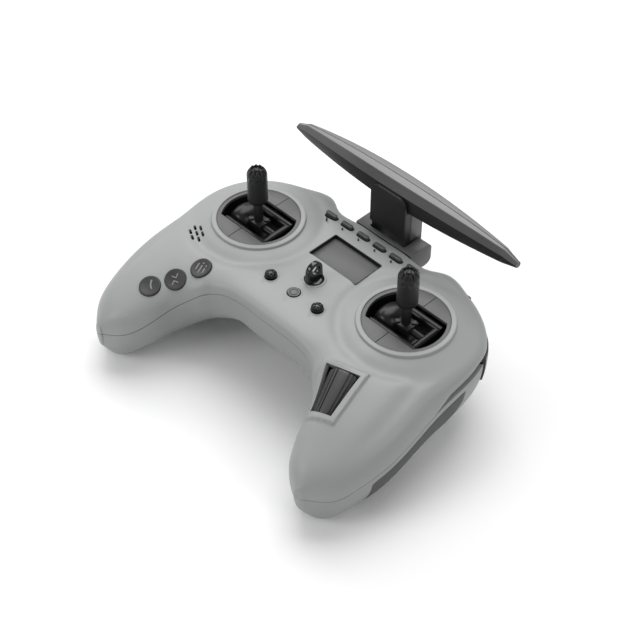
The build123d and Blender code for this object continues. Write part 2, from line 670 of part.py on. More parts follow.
def ring_boss(outer, inner, y):
    """Collar on the middle line, as a ring that stands on the face."""
    return collar(0, y, outer) - cylinder(inner, -10, 10, 0, y)


def upper_shell():
    """Front half of the case, with the stick wells and every opening of the face."""
    half = half_face()
    shell = half + half.mirror(Plane.YZ)
    shell = shell - cylinder(POWER_HOLE_R, -10, 10, 0, TRIM_Y) - cylinder(STRAP_BASE_R, -10, 10, 0, STRAP_Y)
    shell = shell + ring_boss(POWER_COLLAR_R, POWER_HOLE_R, TRIM_Y)
    shell = shell + ring_boss(STRAP_COLLAR_R, STRAP_BASE_R, STRAP_Y)
    opening = extrude(Pos(0, SCREEN_Y, -5) * RectangleRounded(SCREEN_W, SCREEN_H, SCREEN_CORNER), 10, dir=(0, 0, 1))
    shell = shell - opening - window_space(0.1)
    for point in FUNCTION_POINTS:
        shell = shell - on_face(*point) * cylinder(FUNCTION_R + FIT, -6, 6)
        shell = shell - on_face(*point) * cylinder(FUNCTION_R + FLANGE + FIT, -6, INSIDE_TOP)
    for slot in speaker_slots():
        shell = shell - slot
    lip = ROLLER_PLANE * (roller_outline(ROLLER_LIP, -3.5, 0.7) - roller_outline(0, -4, 1)) - CAVITY
    shell = shell - ROLLER_PLANE * roller_outline(0, -12, 8) + lip
    return shell - ROLLER_PLANE * roller_ear(-1, FIT) - ROLLER_PLANE * roller_ear(1, FIT)


def usb_opening(extra):
    """Rounded slot for the charging port, in the back wall."""
    x, z = USB_POINT
    sketch = Plane.XZ * Pos(x, z) * SlotOverall(9.2 + 2 * extra, 3.4 + 2 * extra)
    return Pos(0, BACK_REACH - 10.2, 0) * extrude(sketch, -30, dir=(0, -1, 0))


def usb_port():
    """Metal shell of the charging port on a small board."""
    x, z = USB_POINT
    outer = extrude(Plane.XZ * Pos(x, z) * SlotOverall(9.0, 3.2), 8, dir=(0, -1, 0))
    inner = extrude(Plane.XZ * Pos(x, z) * SlotOverall(8.2, 2.4), 6.5, dir=(0, -1, 0))
    tongue = block(x - 3.3, x + 3.3, -7.0, -1.5, z - 0.35, z + 0.35)
    back = BACK_REACH - 2.0
    return Pos(0, back, 0) * (outer - inner + tongue)


def main_board():
    """Main circuit board behind the face, between the stick wells."""
    half = GIMBAL_X - GIMBAL_HOLE_R - 0.8
    board = block(-half, half, -30, MENU_Y + 3.4, BOARD_TOP - BOARD_THICK, BOARD_TOP)
    board = board - display_clearance()
    for side in (-1, 1):
        board = board - cylinder(4.3, -20, 0, side * TRIM_X, TRIM_Y)
    return board


def display_clearance():
    """Cut-out of the board around the display panel."""
    w, h = SCREEN_W / 2 + 1.4, SCREEN_H / 2 + 1.4
    return block(-w, w, SCREEN_Y - h, SCREEN_Y + h, -20, 0)


def battery_pack():
    """Flat lithium battery under the main board."""
    lx, ly, lz = BATTERY
    y = (BAY_FRONT_Y + BAY_BACK_Y) / 2
    low = RIGHT[0].bottom + 5.0
    cell = block(-lx / 2, lx / 2, y - ly / 2, y + ly / 2, low, low + lz)
    return fillet(cell.edges().filter_by(Axis.Z), 3.0)


def radio_module():
    """Radio-frequency module in the rear bay, under the battery."""
    y = (BAY_FRONT_Y + BAY_BACK_Y) / 2
    top = RIGHT[0].bottom + 4.0
    board = block(-22, 22, y - 14, y + 14, BAY_FLOOR + 3.0, BAY_FLOOR + 4.6)
    can = block(-16, 16, y - 10, y + 10, BAY_FLOOR + 4.6, BAY_FLOOR + 9.6)
    plug = block(-8, 8, y - 3, y + 3, BAY_FLOOR + 9.6, top)
    return board + can + plug


# ---- antenna ----
def antenna_bracket():
    """Hinge bracket on the back of the case: a base plate and two arms."""
    base_y = RIGHT[0].outer_y + 0.1
    low, high = HINGE_Z - 6.0, HINGE_Z + 5.0
    arm_in = MAST_HALF_X + 0.3
    bracket = block(-BRACKET_HALF_X, BRACKET_HALF_X, base_y, base_y + 2.2, low, high)
    for side in (-1, 1):
        x0, x1 = sorted((side * arm_in, side * BRACKET_HALF_X))
        arm = block(x0, x1, base_y, HINGE_Y + 4.6, low, high)
        arm = fillet(arm.edges().filter_by(Axis.X).sort_by(Axis.Y)[-2:], 3.0)
        bracket = bracket + arm
    bracket = bracket - whole_body(-0.12)
    return bracket - rod(HINGE_PIN_R, (-BRACKET_HALF_X + 2, HINGE_Y, HINGE_Z), (BRACKET_HALF_X - 2, HINGE_Y, HINGE_Z))


def hinge_pin():
    """Pin the mast folds on."""
    half = BRACKET_HALF_X - 2
    return rod(HINGE_PIN_R, (-half, HINGE_Y, HINGE_Z), (half, HINGE_Y, HINGE_Z))


def antenna_mast():
    """Mast with a round knuckle at its foot and a plate up the front of the bar."""
    mast = block(-MAST_HALF_X, MAST_HALF_X, MAST_FRONT_Y, MAST_BACK_Y, HINGE_Z, BAR_LOW - 0.05)
    mast = mast + rod(HINGE_KNUCKLE_R, (-MAST_HALF_X, HINGE_Y, HINGE_Z), (MAST_HALF_X, HINGE_Y, HINGE_Z))
    top = bar_front_y(0)
    plate = block(-MAST_HALF_X, MAST_HALF_X, top - 1.5, top - 0.1, HINGE_Z + 9, FRONT_PLATE_TOP)
    plate = fillet(plate.edges().filter_by(Axis.Y).sort_by(Axis.Z)[-2:], 4.5)
    mast = mast + plate
    return mast - rod(HINGE_PIN_R + PIN_CLEAR, (-30, HINGE_Y, HINGE_Z), (30, HINGE_Y, HINGE_Z))


def bar_top(x):
    """Height of the antenna bar's bowed top at x."""
    return BAR_LOW + 12.6 - 5.9 * (x / 55.8) ** 2


def bar_front_y(x):
    """Front of the antenna bar's crescent at x."""
    return 35.4 + 6.2 * (abs(x) / BAR_HALF) ** 1.8


BAR_SHARES = (0.0, 0.11, 0.22, 0.33, 0.44, 0.56, 0.67, 0.78, 0.89, 0.95, 1.0)
BAR_STATIONS = [-BAR_HALF * share for share in BAR_SHARES[:0:-1]] + [BAR_HALF * share for share in BAR_SHARES]


def bar_section(x, front):
    """Outline of one shell of the bar at x, from its bottom round over the top."""
    end = min(1.0, (BAR_HALF - abs(x)) / (BAR_HALF - 56.0))
    low = BAR_LOW + 0.8 * (1 - end)
    top = low + (bar_top(min(abs(x), 56.0)) - low) * (0.42 + 0.58 * end)
    face = bar_front_y(x)
    seam = (face + BAR_BACK_Y) / 2 + 0.6
    bevel = 0.38 * (top - low)
    if front:
        outline = [(face + 0.9, low), (face, low + 1.2), (face, top - bevel), (face + 1.2, top), (seam, top), (seam, low)]
    else:
        seam = seam + 0.12
        outline = [(seam, low), (seam, top), (BAR_BACK_Y - 0.8, top), (BAR_BACK_Y, top - 1.0), (BAR_BACK_Y, low + 1.0),
                   (BAR_BACK_Y - 0.8, low)]
    return Wire.make_polygon([Vector(x, y, z) for y, z in outline], close=True)


def antenna_shell(front):
    """Front or back shell of the T antenna's bar."""
    shell = Solid.make_loft([bar_section(x, front) for x in BAR_STATIONS], True)
    return shell - block(-50.2, 50.2, 39.6, 42.2, BAR_LOW + 1.5, BAR_LOW + 5.3)


def antenna_element():
    """Radiating strip inside the bar."""
    return block(-50, 50, 39.9, 41.9, BAR_LOW + 1.7, BAR_LOW + 5.1)


def build():
    """Every sub-part by name; a list is a group of separate solids."""
    parts = {
        "upper_shell": upper_shell(), "lower_shell": lower_shell(), "module_bay_cover": module_bay_cover(),
        "battery_pack": battery_pack(), "radio_module": radio_module(), "main_board": main_board(),
        "display_module": display_module(), "display_window": display_window(), "led_guides": led_guides(),
        "power_button": power_button(), "strap_eye": strap_eye(), "speaker": speaker(),
        "roller_wheel": roller_wheel(), "roller_bearings": roller_bearings(), "usb_port": usb_port(),
        "case_screws": case_screws(), "antenna_bracket": antenna_bracket(), "hinge_pin": hinge_pin(),
        "antenna_mast": antenna_mast(), "antenna_bar_front": antenna_shell(True),
        "antenna_bar_back": antenna_shell(False), "antenna_element": antenna_element(),
    }
    for k in range(MENU_COUNT):
        parts[f"menu_button_{k + 1}"] = menu_button(k)
    for k, point in enumerate(FUNCTION_POINTS):
        parts[f"function_button_{k + 1}"] = function_button(point)
    for name, side in SIDES:
        x = side * GIMBAL_X
        parts[f"gimbal_housing_{name}"] = gimbal_housing(x)
        parts[f"gimbal_cover_{name}"] = gimbal_cover(x)
        parts[f"gimbal_yoke_{name}"] = gimbal_yoke(x)
        parts[f"stick_shaft_{name}"] = stick_shaft(x)
        parts[f"stick_grip_{name}"] = stick_grip(x)
        parts[f"trim_hat_{name}"] = trim_hat(side * TRIM_X)
        parts[f"trim_cradle_{name}"] = trim_cradle(side * TRIM_X)
        parts[f"trim_socket_{name}"] = trim_socket(side * TRIM_X)
        parts[f"grip_pad_{name}"] = grip_pad(side)
        parts[f"shoulder_button_{name}"] = shoulder_button(side)
        parts[f"shoulder_rocker_{name}"] = shoulder_rocker(side)
    return parts


os.makedirs("parts", exist_ok=True)
for node, shape in build().items():
    solids = shape if isinstance(shape, list) else [shape]
    raised = [Pos(0, 0, FACE_HEIGHT) * solid for solid in solids]
    export_step(Compound(children=raised) if len(raised) > 1 else raised[0], f"parts/{node}.step")
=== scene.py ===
"""Looks of a two-stick model radio transmitter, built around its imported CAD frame."""

import json
import logging
import math
from dataclasses import dataclass
from enum import Enum
from typing import Iterable, NamedTuple, Sequence

import bmesh
import bpy
import numpy as np
from mathutils import Matrix, Vector
from mathutils.bvhtree import BVHTree


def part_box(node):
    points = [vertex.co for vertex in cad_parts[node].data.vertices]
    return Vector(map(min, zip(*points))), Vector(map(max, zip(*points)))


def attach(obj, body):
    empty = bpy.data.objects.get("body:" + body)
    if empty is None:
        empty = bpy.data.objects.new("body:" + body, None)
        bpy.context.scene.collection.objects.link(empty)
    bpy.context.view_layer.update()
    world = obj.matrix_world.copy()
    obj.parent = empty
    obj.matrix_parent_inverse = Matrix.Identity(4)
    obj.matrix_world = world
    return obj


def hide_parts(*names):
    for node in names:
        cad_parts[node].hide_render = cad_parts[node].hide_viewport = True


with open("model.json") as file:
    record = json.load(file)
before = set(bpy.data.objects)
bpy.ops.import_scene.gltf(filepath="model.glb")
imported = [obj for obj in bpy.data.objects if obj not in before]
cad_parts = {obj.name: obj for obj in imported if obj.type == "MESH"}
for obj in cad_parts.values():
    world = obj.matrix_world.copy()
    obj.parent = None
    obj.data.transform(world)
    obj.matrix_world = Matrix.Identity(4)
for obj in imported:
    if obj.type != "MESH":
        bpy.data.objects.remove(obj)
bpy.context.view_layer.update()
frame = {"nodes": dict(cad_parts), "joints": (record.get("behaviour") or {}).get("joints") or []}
log = logging.getLogger("transmitter")

MM = 0.001
Colour = tuple[float, float, float]
Point2 = tuple[float, float]


class Side(Enum):
    """The two handles of the transmitter."""

    LEFT = -1
    RIGHT = 1

    @property
    def word(self) -> str:
        """The side's name as the CAD nodes and bodies spell it."""
        return self.name.lower()


class Texture(Enum):
    """The kinds of fine surface that a finish can carry."""

    MOULDED = "moulded"
    RUBBER = "rubber"
    BRUSHED = "brushed"
    POLISHED = "polished"


# ---------------------------------------------------------------------------------------------
# Shader groups and finishes
# ---------------------------------------------------------------------------------------------


def new_group(name: str, inputs: Sequence[tuple[str, str, float]], outputs: Sequence[tuple[str, str]]):
    """Starts a shader node group with named sockets.

    Args:
        name: the group's name.
        inputs: socket name, kind and default of each input.
        outputs: socket name and kind of each output.

    Returns:
        The group, its input node and its output node.
    """
    group = bpy.data.node_groups.new(name, "ShaderNodeTree")
    for socket, kind, default in inputs:
        made = group.interface.new_socket(name=socket, in_out="INPUT", socket_type=kind)
        if kind == "NodeSocketFloat":
            made.default_value = default
    for socket, kind in outputs:
        group.interface.new_socket(name=socket, in_out="OUTPUT", socket_type=kind)
    return group, group.nodes.new("NodeGroupInput"), group.nodes.new("NodeGroupOutput")


def maths(tree: bpy.types.NodeTree, operation: str, first, second) -> bpy.types.NodeSocket:
    """Adds a maths node.

    Args:
        tree: the tree that gets the node.
        operation: the node's operation.
        first: a socket or a number.
        second: a socket or a number.

    Returns:
        The node's output.
    """
    node = tree.nodes.new("ShaderNodeMath")
    node.operation = operation
    for slot_number, value in enumerate((first, second)):
        if isinstance(value, bpy.types.NodeSocket):
            tree.links.new(value, node.inputs[slot_number])
        else:
            node.inputs[slot_number].default_value = value
    return node.outputs[0]


def grain_group() -> bpy.types.NodeTree:
    """Spark-eroded mould grain: a height for bump and a slow mottle for colour."""
    group, given, put = new_group(
        "mould_grain",
        [("Scale", "NodeSocketFloat", 2600.0), ("Mottle Scale", "NodeSocketFloat", 60.0)],
        [("Height", "NodeSocketFloat"), ("Mottle", "NodeSocketFloat")],
    )
    place = group.nodes.new("ShaderNodeTexCoord")
    fine = group.nodes.new("ShaderNodeTexNoise")
    slow = group.nodes.new("ShaderNodeTexNoise")
    fine.inputs["Detail"].default_value = 3.0
    slow.inputs["Detail"].default_value = 4.0
    for node, socket in ((fine, "Scale"), (slow, "Mottle Scale")):
        group.links.new(place.outputs["Object"], node.inputs["Vector"])
        group.links.new(given.outputs[socket], node.inputs["Scale"])
    group.links.new(fine.outputs["Fac"], put.inputs["Height"])
    group.links.new(slow.outputs["Fac"], put.inputs["Mottle"])
    return group


def wear_group() -> bpy.types.NodeTree:
    """Handling wear: a mask that is 1 on the proudest edges, broken up by noise."""
    group, given, put = new_group(
        "edge_wear",
        [("Amount", "NodeSocketFloat", 0.3), ("Breakup", "NodeSocketFloat", 350.0)],
        [("Mask", "NodeSocketFloat")],
    )
    shape = group.nodes.new("ShaderNodeNewGeometry")
    place = group.nodes.new("ShaderNodeTexCoord")
    noise = group.nodes.new("ShaderNodeTexNoise")
    group.links.new(place.outputs["Object"], noise.inputs["Vector"])
    group.links.new(given.outputs["Breakup"], noise.inputs["Scale"])
    edge = maths(group, "SUBTRACT", shape.outputs["Pointiness"], 0.53)
    edge = maths(group, "MULTIPLY", edge, 9.0)
    broken = maths(group, "MULTIPLY", edge, noise.outputs["Fac"])
    scaled = maths(group, "MULTIPLY", broken, given.outputs["Amount"])
    limit = group.nodes.new("ShaderNodeClamp")
    group.links.new(scaled, limit.inputs["Value"])
    group.links.new(limit.outputs["Result"], put.inputs["Mask"])
    return group


def dust_group() -> bpy.types.NodeTree:
    """Thin dust that settles on faces that look up."""
    group, given, put = new_group(
        "settled_dust",
        [("Amount", "NodeSocketFloat", 0.1), ("Scale", "NodeSocketFloat", 900.0)],
        [("Mask", "NodeSocketFloat")],
    )
    shape = group.nodes.new("ShaderNodeNewGeometry")
    parts = group.nodes.new("ShaderNodeSeparateXYZ")
    place = group.nodes.new("ShaderNodeTexCoord")
    noise = group.nodes.new("ShaderNodeTexNoise")
    group.links.new(shape.outputs["Normal"], parts.inputs["Vector"])
    group.links.new(place.outputs["Object"], noise.inputs["Vector"])
    group.links.new(given.outputs["Scale"], noise.inputs["Scale"])
    up = maths(group, "MAXIMUM", parts.outputs["Z"], 0.0)
    speck = maths(group, "MULTIPLY", up, noise.outputs["Fac"])
    group.links.new(maths(group, "MULTIPLY", speck, given.outputs["Amount"]), put.inputs["Mask"])
    return group


class ShaderKit:
    """The shared shader groups, built once."""

    def __init__(self) -> None:
        """Builds the groups."""
        self.grain = grain_group()
        self.wear = wear_group()
        self.dust = dust_group()

    def place(self, tree: bpy.types.NodeTree, group: bpy.types.NodeTree, **values: float):
        """Puts a group in a material.

        Args:
            tree: the material's tree.
            group: the group.
            values: input values, with _ for a space in the socket's name.

        Returns:
            The group node.
        """
        node = tree.nodes.new("ShaderNodeGroup")
        node.node_tree = group
        for key, value in values.items():
            node.inputs[key.replace("_", " ")].default_value = value
        return node


@dataclass(frozen=True)
class Finish:
    """One surface finish and how it is drawn."""

    name: str
    colour: Colour
    roughness: float
    metallic: float = 0.0
    texture: Texture = Texture.MOULDED
    grain: float = 2600.0
    bump: float = 0.12
    mottle: float = 0.05
    wear: float = 0.25
    dust: float = 0.06
    coat: float = 0.0
    specular: float = 0.45

    def material(self, kit: ShaderKit) -> bpy.types.Material:
        """Draws the finish as a material.

        Args:
            kit: the shared shader groups.

        Returns:
            The material.
        """
        made = bpy.data.materials.new(self.name)
        made.use_nodes = True
        tree = made.node_tree
        shader = tree.nodes["Principled BSDF"]
        shader.inputs["Metallic"].default_value = self.metallic
        shader.inputs["Coat Weight"].default_value = self.coat
        shader.inputs["Coat Roughness"].default_value = 0.12
        shader.inputs["Specular IOR Level"].default_value = self.specular
        grain = kit.place(tree, kit.grain, Scale=self.grain, Mottle_Scale=70.0)
        wear = kit.place(tree, kit.wear, Amount=self.wear, Breakup=420.0)
        dust = kit.place(tree, kit.dust, Amount=self.dust, Scale=1400.0)
        tone = self.blend(tree, grain.outputs["Mottle"], self.shade(1 - self.mottle), self.shade(1 + self.mottle))
        worn = self.blend(tree, wear.outputs["Mask"], tone, self.shade(1.6, 0.012))
        dusty = self.blend(tree, dust.outputs["Mask"], worn, (0.52, 0.51, 0.49))
        tree.links.new(dusty, shader.inputs["Base Color"])
        spread = maths(tree, "MULTIPLY", grain.outputs["Mottle"], 0.16)
        rough = maths(tree, "ADD", spread, self.roughness - 0.08)
        rubbed = maths(tree, "MULTIPLY", wear.outputs["Mask"], -0.12)
        tree.links.new(maths(tree, "ADD", rough, rubbed), shader.inputs["Roughness"])
        bump = tree.nodes.new("ShaderNodeBump")
        bump.inputs["Strength"].default_value = self.bump
        bump.inputs["Distance"].default_value = 0.00012
        tree.links.new(self.height(tree, grain.outputs["Height"]), bump.inputs["Height"])
        tree.links.new(bump.outputs["Normal"], shader.inputs["Normal"])
        return made

    def shade(self, factor: float, lift: float = 0.0) -> Colour:
        """The finish's colour, lighter or darker."""
        return tuple(min(1.0, channel * factor + lift) for channel in self.colour)

    def blend(self, tree: bpy.types.NodeTree, mask: bpy.types.NodeSocket, first, second) -> bpy.types.NodeSocket:
        """Mixes two colours by a mask.

        Args:
            tree: the material's tree.
            mask: the mask's socket.
            first: colour or socket where the mask is 0.
            second: colour or socket where it is 1.

        Returns:
            The mixed colour's socket.
        """
        mix = tree.nodes.new("ShaderNodeMix")
        mix.data_type = "RGBA"
        tree.links.new(mask, mix.inputs["Factor"])
        for socket, value in ((mix.inputs[6], first), (mix.inputs[7], second)):
            if isinstance(value, bpy.types.NodeSocket):
                tree.links.new(value, socket)
            else:
                socket.default_value = (*value, 1.0)
        return mix.outputs[2]

    def height(self, tree: bpy.types.NodeTree, grain: bpy.types.NodeSocket) -> bpy.types.NodeSocket:
        """The height that the finish's texture adds to its grain.

        Args:
            tree: the material's tree.
            grain: the grain group's height.

        Returns:
            The height's socket.
        """
        if self.texture is Texture.MOULDED or self.texture is Texture.POLISHED:
            return grain
        place = tree.nodes.new("ShaderNodeTexCoord")
        stretch = tree.nodes.new("ShaderNodeMapping")
        tree.links.new(place.outputs["Object"], stretch.inputs["Vector"])
        if self.texture is Texture.RUBBER:
            cells = tree.nodes.new("ShaderNodeTexVoronoi")
            cells.inputs["Scale"].default_value = 1100.0
            tree.links.new(stretch.outputs["Vector"], cells.inputs["Vector"])
            return maths(tree, "ADD", maths(tree, "MULTIPLY", cells.outputs["Distance"], 0.8), grain)
        stretch.inputs["Scale"].default_value = (1.0, 1.0, 40.0)
        lines = tree.nodes.new("ShaderNodeTexNoise")
        lines.inputs["Scale"].default_value = 500.0
        tree.links.new(stretch.outputs["Vector"], lines.inputs["Vector"])
        return maths(tree, "ADD", lines.outputs["Fac"], grain)


class Finishes:
    """Every finish of the transmitter, as materials."""

    CASE = Finish("case_grey", (0.295, 0.305, 0.30), 0.44, bump=0.10, mottle=0.02, wear=0.06, dust=0.02)
    CASE_BACK = Finish("case_grey_back", (0.285, 0.295, 0.29), 0.46, bump=0.12, mottle=0.02, wear=0.06, dust=0.02)
    GRIP = Finish("grip_rubber", (0.085, 0.085, 0.087), 0.74, texture=Texture.RUBBER, bump=0.35, wear=0.05)
    BLACK = Finish("black_moulding", (0.007, 0.007, 0.008), 0.30, bump=0.08, wear=0.08, dust=0.01, specular=0.3)
    COVER = Finish("cover_grey", (0.085, 0.085, 0.087), 0.46, bump=0.12, wear=0.08)
    KEY = Finish("key_grey", (0.036, 0.036, 0.038), 0.42, bump=0.12, wear=0.12)
    ROUND_KEY = Finish("round_key_grey", (0.032, 0.032, 0.034), 0.42, bump=0.12, wear=0.12, specular=0.35)
    STICK = Finish("black_anodised", (0.010, 0.010, 0.011), 0.36, grain=4200.0, bump=0.10, wear=0.12, dust=0.01,
                   specular=0.3)
    ROLLER = Finish("roller_grey", (0.042, 0.042, 0.043), 0.40, bump=0.10, wear=0.15, specular=0.4)
    PLATE = Finish("satin_plate", (0.50, 0.50, 0.51), 0.45, metallic=0.4, texture=Texture.BRUSHED, bump=0.08)
    STEEL = Finish("plated_steel", (0.55, 0.55, 0.56), 0.28, metallic=1.0, texture=Texture.BRUSHED, bump=0.08)
    GLOSS = Finish("gloss_black", (0.006, 0.006, 0.007), 0.16, texture=Texture.POLISHED, bump=0.02, wear=0.0,
                   dust=0.0, coat=0.5, specular=0.35)
    ANTENNA = Finish("antenna_dark", (0.014, 0.014, 0.015), 0.42, bump=0.12, wear=0.1, dust=0.02, specular=0.3)
    # Painted light: the next two finishes are lighter copies of the dark antenna plastic above. Their lighter colour
    # stands in for light falling on the bar's top, its upper bevel and its ends, and on the side of the mast. The top's
    # coarser grain is a bump texture.
    ANTENNA_TOP = Finish("antenna_top", (0.20, 0.20, 0.202), 0.44, grain=1500.0, bump=0.3, wear=0.1, mottle=0.08)
    BEVEL = Finish("antenna_bevel", (0.085, 0.085, 0.088), 0.38, bump=0.12, wear=0.1)
    ICON = Finish("icon_print", (0.22, 0.22, 0.23), 0.5, bump=0.05, wear=0.05)
    BOARD = Finish("solder_mask", (0.010, 0.055, 0.025), 0.35, bump=0.10, coat=0.3)
    BATTERY = Finish("battery_wrap", (0.02, 0.045, 0.16), 0.30, bump=0.05, coat=0.3)
    COPPER = Finish("bare_copper", (0.60, 0.30, 0.17), 0.32, metallic=1.0, texture=Texture.BRUSHED, bump=0.08)
    GUIDE = Finish("light_guide", (0.012, 0.012, 0.012), 0.20, texture=Texture.POLISHED, bump=0.02, wear=0.0)
    SCREEN = Finish("screen_window", (0.135, 0.135, 0.136), 0.34, texture=Texture.POLISHED, bump=0.02, mottle=0.01,
                    wear=0.0, dust=0.0, specular=0.15)

    def __init__(self, kit: ShaderKit) -> None:
        """Keeps the shader groups that the finishes draw on."""
        self.kit = kit
        self.made: dict[str, bpy.types.Material] = {}

    def get(self, finish: Finish) -> bpy.types.Material:
        """The finish's material, drawn the first time it is asked for."""
        if finish.name not in self.made:
            self.made[finish.name] = finish.material(self.kit)
        return self.made[finish.name]


# ---------------------------------------------------------------------------------------------
# Mesh tools
# ---------------------------------------------------------------------------------------------


class Mesh:
    """Points and faces gathered before they become one piece.  Points are in millimetres."""

    def __init__(self) -> None:
        """Starts empty."""
        self.points: list[np.ndarray] = []
        self.faces: list[tuple[int, ...]] = []
        self.marks: list[int] = []
        self.count = 0

    def add(self, points: Iterable, faces: Iterable[Sequence[int]], where: Matrix | None = None, mark: int = 0) -> None:
        """Adds a closed form.

        Args:
            points: its points.
            faces: its faces, counted from its own first point.
            where: a placement in millimetres.
            mark: the material slot of its faces.
        """
        array = np.array([tuple(p) for p in points], float)
        if where is not None:
            turn = np.array(where, float)
            array = array @ turn[:3, :3].T + turn[:3, 3]
        self.points.append(array)
        for face in faces:
            self.faces.append(tuple(i + self.count for i in face))
            self.marks.append(mark)
        self.count += len(array)

    def loft(self, rows: np.ndarray, closed: bool = True, caps: bool = True, where: Matrix | None = None,
             mark: int = 0) -> None:
        """Adds a skin over rows of points.

        Args:
            rows: rows by columns by three.
            closed: each row closes on itself.
            caps: the first and last rows are filled.
            where: a placement in millimetres.
            mark: the material slot of its faces.
        """
        count, wide = rows.shape[:2]
        faces = []
        for a in range(count - 1):
            for b in range(wide if closed else wide - 1):
                c = (b + 1) % wide
                faces.append((a * wide + b, a * wide + c, (a + 1) * wide + c, (a + 1) * wide + b))
        if caps:
            faces.append(tuple(range(wide))[::-1])
            faces.append(tuple((count - 1) * wide + b for b in range(wide)))
        self.add(rows.reshape(-1, 3), faces, where, mark)

    def lathe(self, profile: Sequence[Point2], segments: int = 72, where: Matrix | None = None, mark: int = 0) -> None:
        """Adds a turned form about Z.

        Args:
            profile: radius and height of each step, from the inside bottom round to the inside top.
            segments: steps around.
            where: a placement in millimetres.
            mark: the material slot of its faces.
        """
        angles = np.linspace(0, 2 * math.pi, segments, endpoint=False)
        rows = np.array([[(r * math.cos(a), r * math.sin(a), z) for a in angles] for r, z in profile])
        self.loft(rows, True, True, where, mark)

    def ring(self, profile: Sequence[Point2], segments: int = 96, where: Matrix | None = None, mark: int = 0) -> None:
        """Adds a turned ring whose profile closes on itself.

        Args:
            profile: radius and height of each step around the section.
            segments: steps around.
            where: a placement in millimetres.
            mark: the material slot of its faces.
        """
        angles = np.linspace(0, 2 * math.pi, segments, endpoint=False)
        rows = np.array([[(r * math.cos(a), r * math.sin(a), z) for r, z in profile] for a in angles])
        count, wide = rows.shape[:2]
        faces = [(a * wide + b, ((a + 1) % count) * wide + b, ((a + 1) % count) * wide + (b + 1) % wide,
                  a * wide + (b + 1) % wide) for a in range(count) for b in range(wide)]
        self.add(rows.reshape(-1, 3), faces, where, mark)

    def prism(self, outline: Sequence[Point2], low: float, high: float, where: Matrix | None = None) -> None:
        """Adds an upright prism.

        Args:
            outline: plan points, anticlockwise.
            low: height of its foot.
            high: height of its top.
            where: a placement in millimetres.
        """
        self.loft(np.array([[(x, y, z) for x, y in outline] for z in (low, high)]), True, True, where)

    def object(self, name: str, materials: Sequence[bpy.types.Material], angle: float = 35.0) -> bpy.types.Object:
        """Turns what was gathered into a piece.

        Args:
            name: the piece's name.
            materials: its material slots.
            angle: edges sharper than this stay sharp, in degrees.

        Returns:
            The piece, in metres.
        """
        data = bpy.data.meshes.new(name)
        data.from_pydata((np.vstack(self.points) * MM).tolist(), [], self.faces)
        for material in materials:
            data.materials.append(material)
        data.polygons.foreach_set("material_index", self.marks)
        tidy = bmesh.new()
        tidy.from_mesh(data)
        bmesh.ops.recalc_face_normals(tidy, faces=tidy.faces)
        tidy.to_mesh(data)
        tidy.free()
        piece = bpy.data.objects.new(name, data)
        bpy.context.scene.collection.objects.link(piece)
        smooth(data, angle)
        return piece


def smooth(data: bpy.types.Mesh, angle: float) -> None:
    """Shades a mesh smooth but for its sharp edges."""
    data.polygons.foreach_set("use_smooth", [True] * len(data.polygons))
    data.set_sharp_from_angle(angle=math.radians(angle))
    data.update()


def applied(piece: bpy.types.Object) -> bpy.types.Object:
    """Applies the piece's modifiers to its mesh."""
    bpy.context.view_layer.update()
    graph = bpy.context.evaluated_depsgraph_get()
    data = bpy.data.meshes.new_from_object(piece.evaluated_get(graph), depsgraph=graph)
    piece.modifiers.clear()
    piece.data = data
    return piece


def cut(piece: bpy.types.Object, cutters: Mesh) -> bpy.types.Object:
    """Cuts closed forms out of a piece.

    Args:
        piece: the piece.
        cutters: the forms, clear of each other.

    Returns:
        The piece.
    """
    tool = cutters.object("cutter", [])
    step = piece.modifiers.new("openings", "BOOLEAN")
    step.operation = "DIFFERENCE"
    step.solver = "EXACT"
    step.object = tool
    applied(piece)
    bpy.data.objects.remove(tool)
    return piece


def bevelled(name: str, loops: Sequence[Sequence[Point2]], thick: float, bevel: float, where: Matrix,
             material: bpy.types.Material) -> bpy.types.Object:
    """A flat plate with rounded edges, and holes where loops lie inside the first.

    Args:
        name: the piece's name.
        loops: outlines in millimetres.
        thick: the plate's thickness.
        bevel: radius of its edges.
        where: placement in millimetres of the plate's middle plane.
        material: its material.

    Returns:
        The piece.
    """
    curve = bpy.data.curves.new(name, "CURVE")
    curve.dimensions = "2D"
    curve.fill_mode = "BOTH"
    curve.extrude = (thick / 2 - bevel) * MM
    curve.bevel_depth = bevel * MM
    curve.bevel_resolution = 3
    curve.offset = -bevel * MM
    for loop in loops:
        spline = curve.splines.new("POLY")
        spline.points.add(len(loop) - 1)
        for point, (x, y) in zip(spline.points, loop):
            point.co = (x * MM, y * MM, 0, 1)
        spline.use_cyclic_u = True
    holder = bpy.data.objects.new(name, curve)
    bpy.context.scene.collection.objects.link(holder)
    bpy.context.view_layer.update()
    graph = bpy.context.evaluated_depsgraph_get()
    data = bpy.data.meshes.new_from_object(holder.evaluated_get(graph), depsgraph=graph)
    bpy.data.objects.remove(holder)
    place = where.copy()
    place.translation = place.translation * MM
    data.transform(place)
    data.name = name
    data.materials.clear()
    data.materials.append(material)
    weld = bmesh.new()
    weld.from_mesh(data)
    bmesh.ops.remove_doubles(weld, verts=weld.verts, dist=1e-6)
    bmesh.ops.recalc_face_normals(weld, faces=weld.faces)
    weld.to_mesh(data)
    weld.free()
    piece = bpy.data.objects.new(name, data)
    bpy.context.scene.collection.objects.link(piece)
    smooth(data, 40)
    return piece


def joined(name: str, pieces: Sequence[bpy.types.Object]) -> bpy.types.Object:
    """Joins pieces into one, keeping each one's materials.

    Args:
        name: the joined piece's name.
        pieces: the pieces, whose first keeps its place.

    Returns:
        The joined piece.
    """
    with bpy.context.temp_override(active_object=pieces[0], selected_editable_objects=list(pieces)):
        bpy.ops.object.join()
    pieces[0].name = name
    return pieces[0]


def arc(cx: float, cy: float, r: float, start: float, end: float, steps: int = 12) -> list[Point2]:
    """Points along a circular arc, angles in degrees."""
    angles = np.radians(np.linspace(start, end, steps))
    return [(cx + r * math.cos(a), cy + r * math.sin(a)) for a in angles]


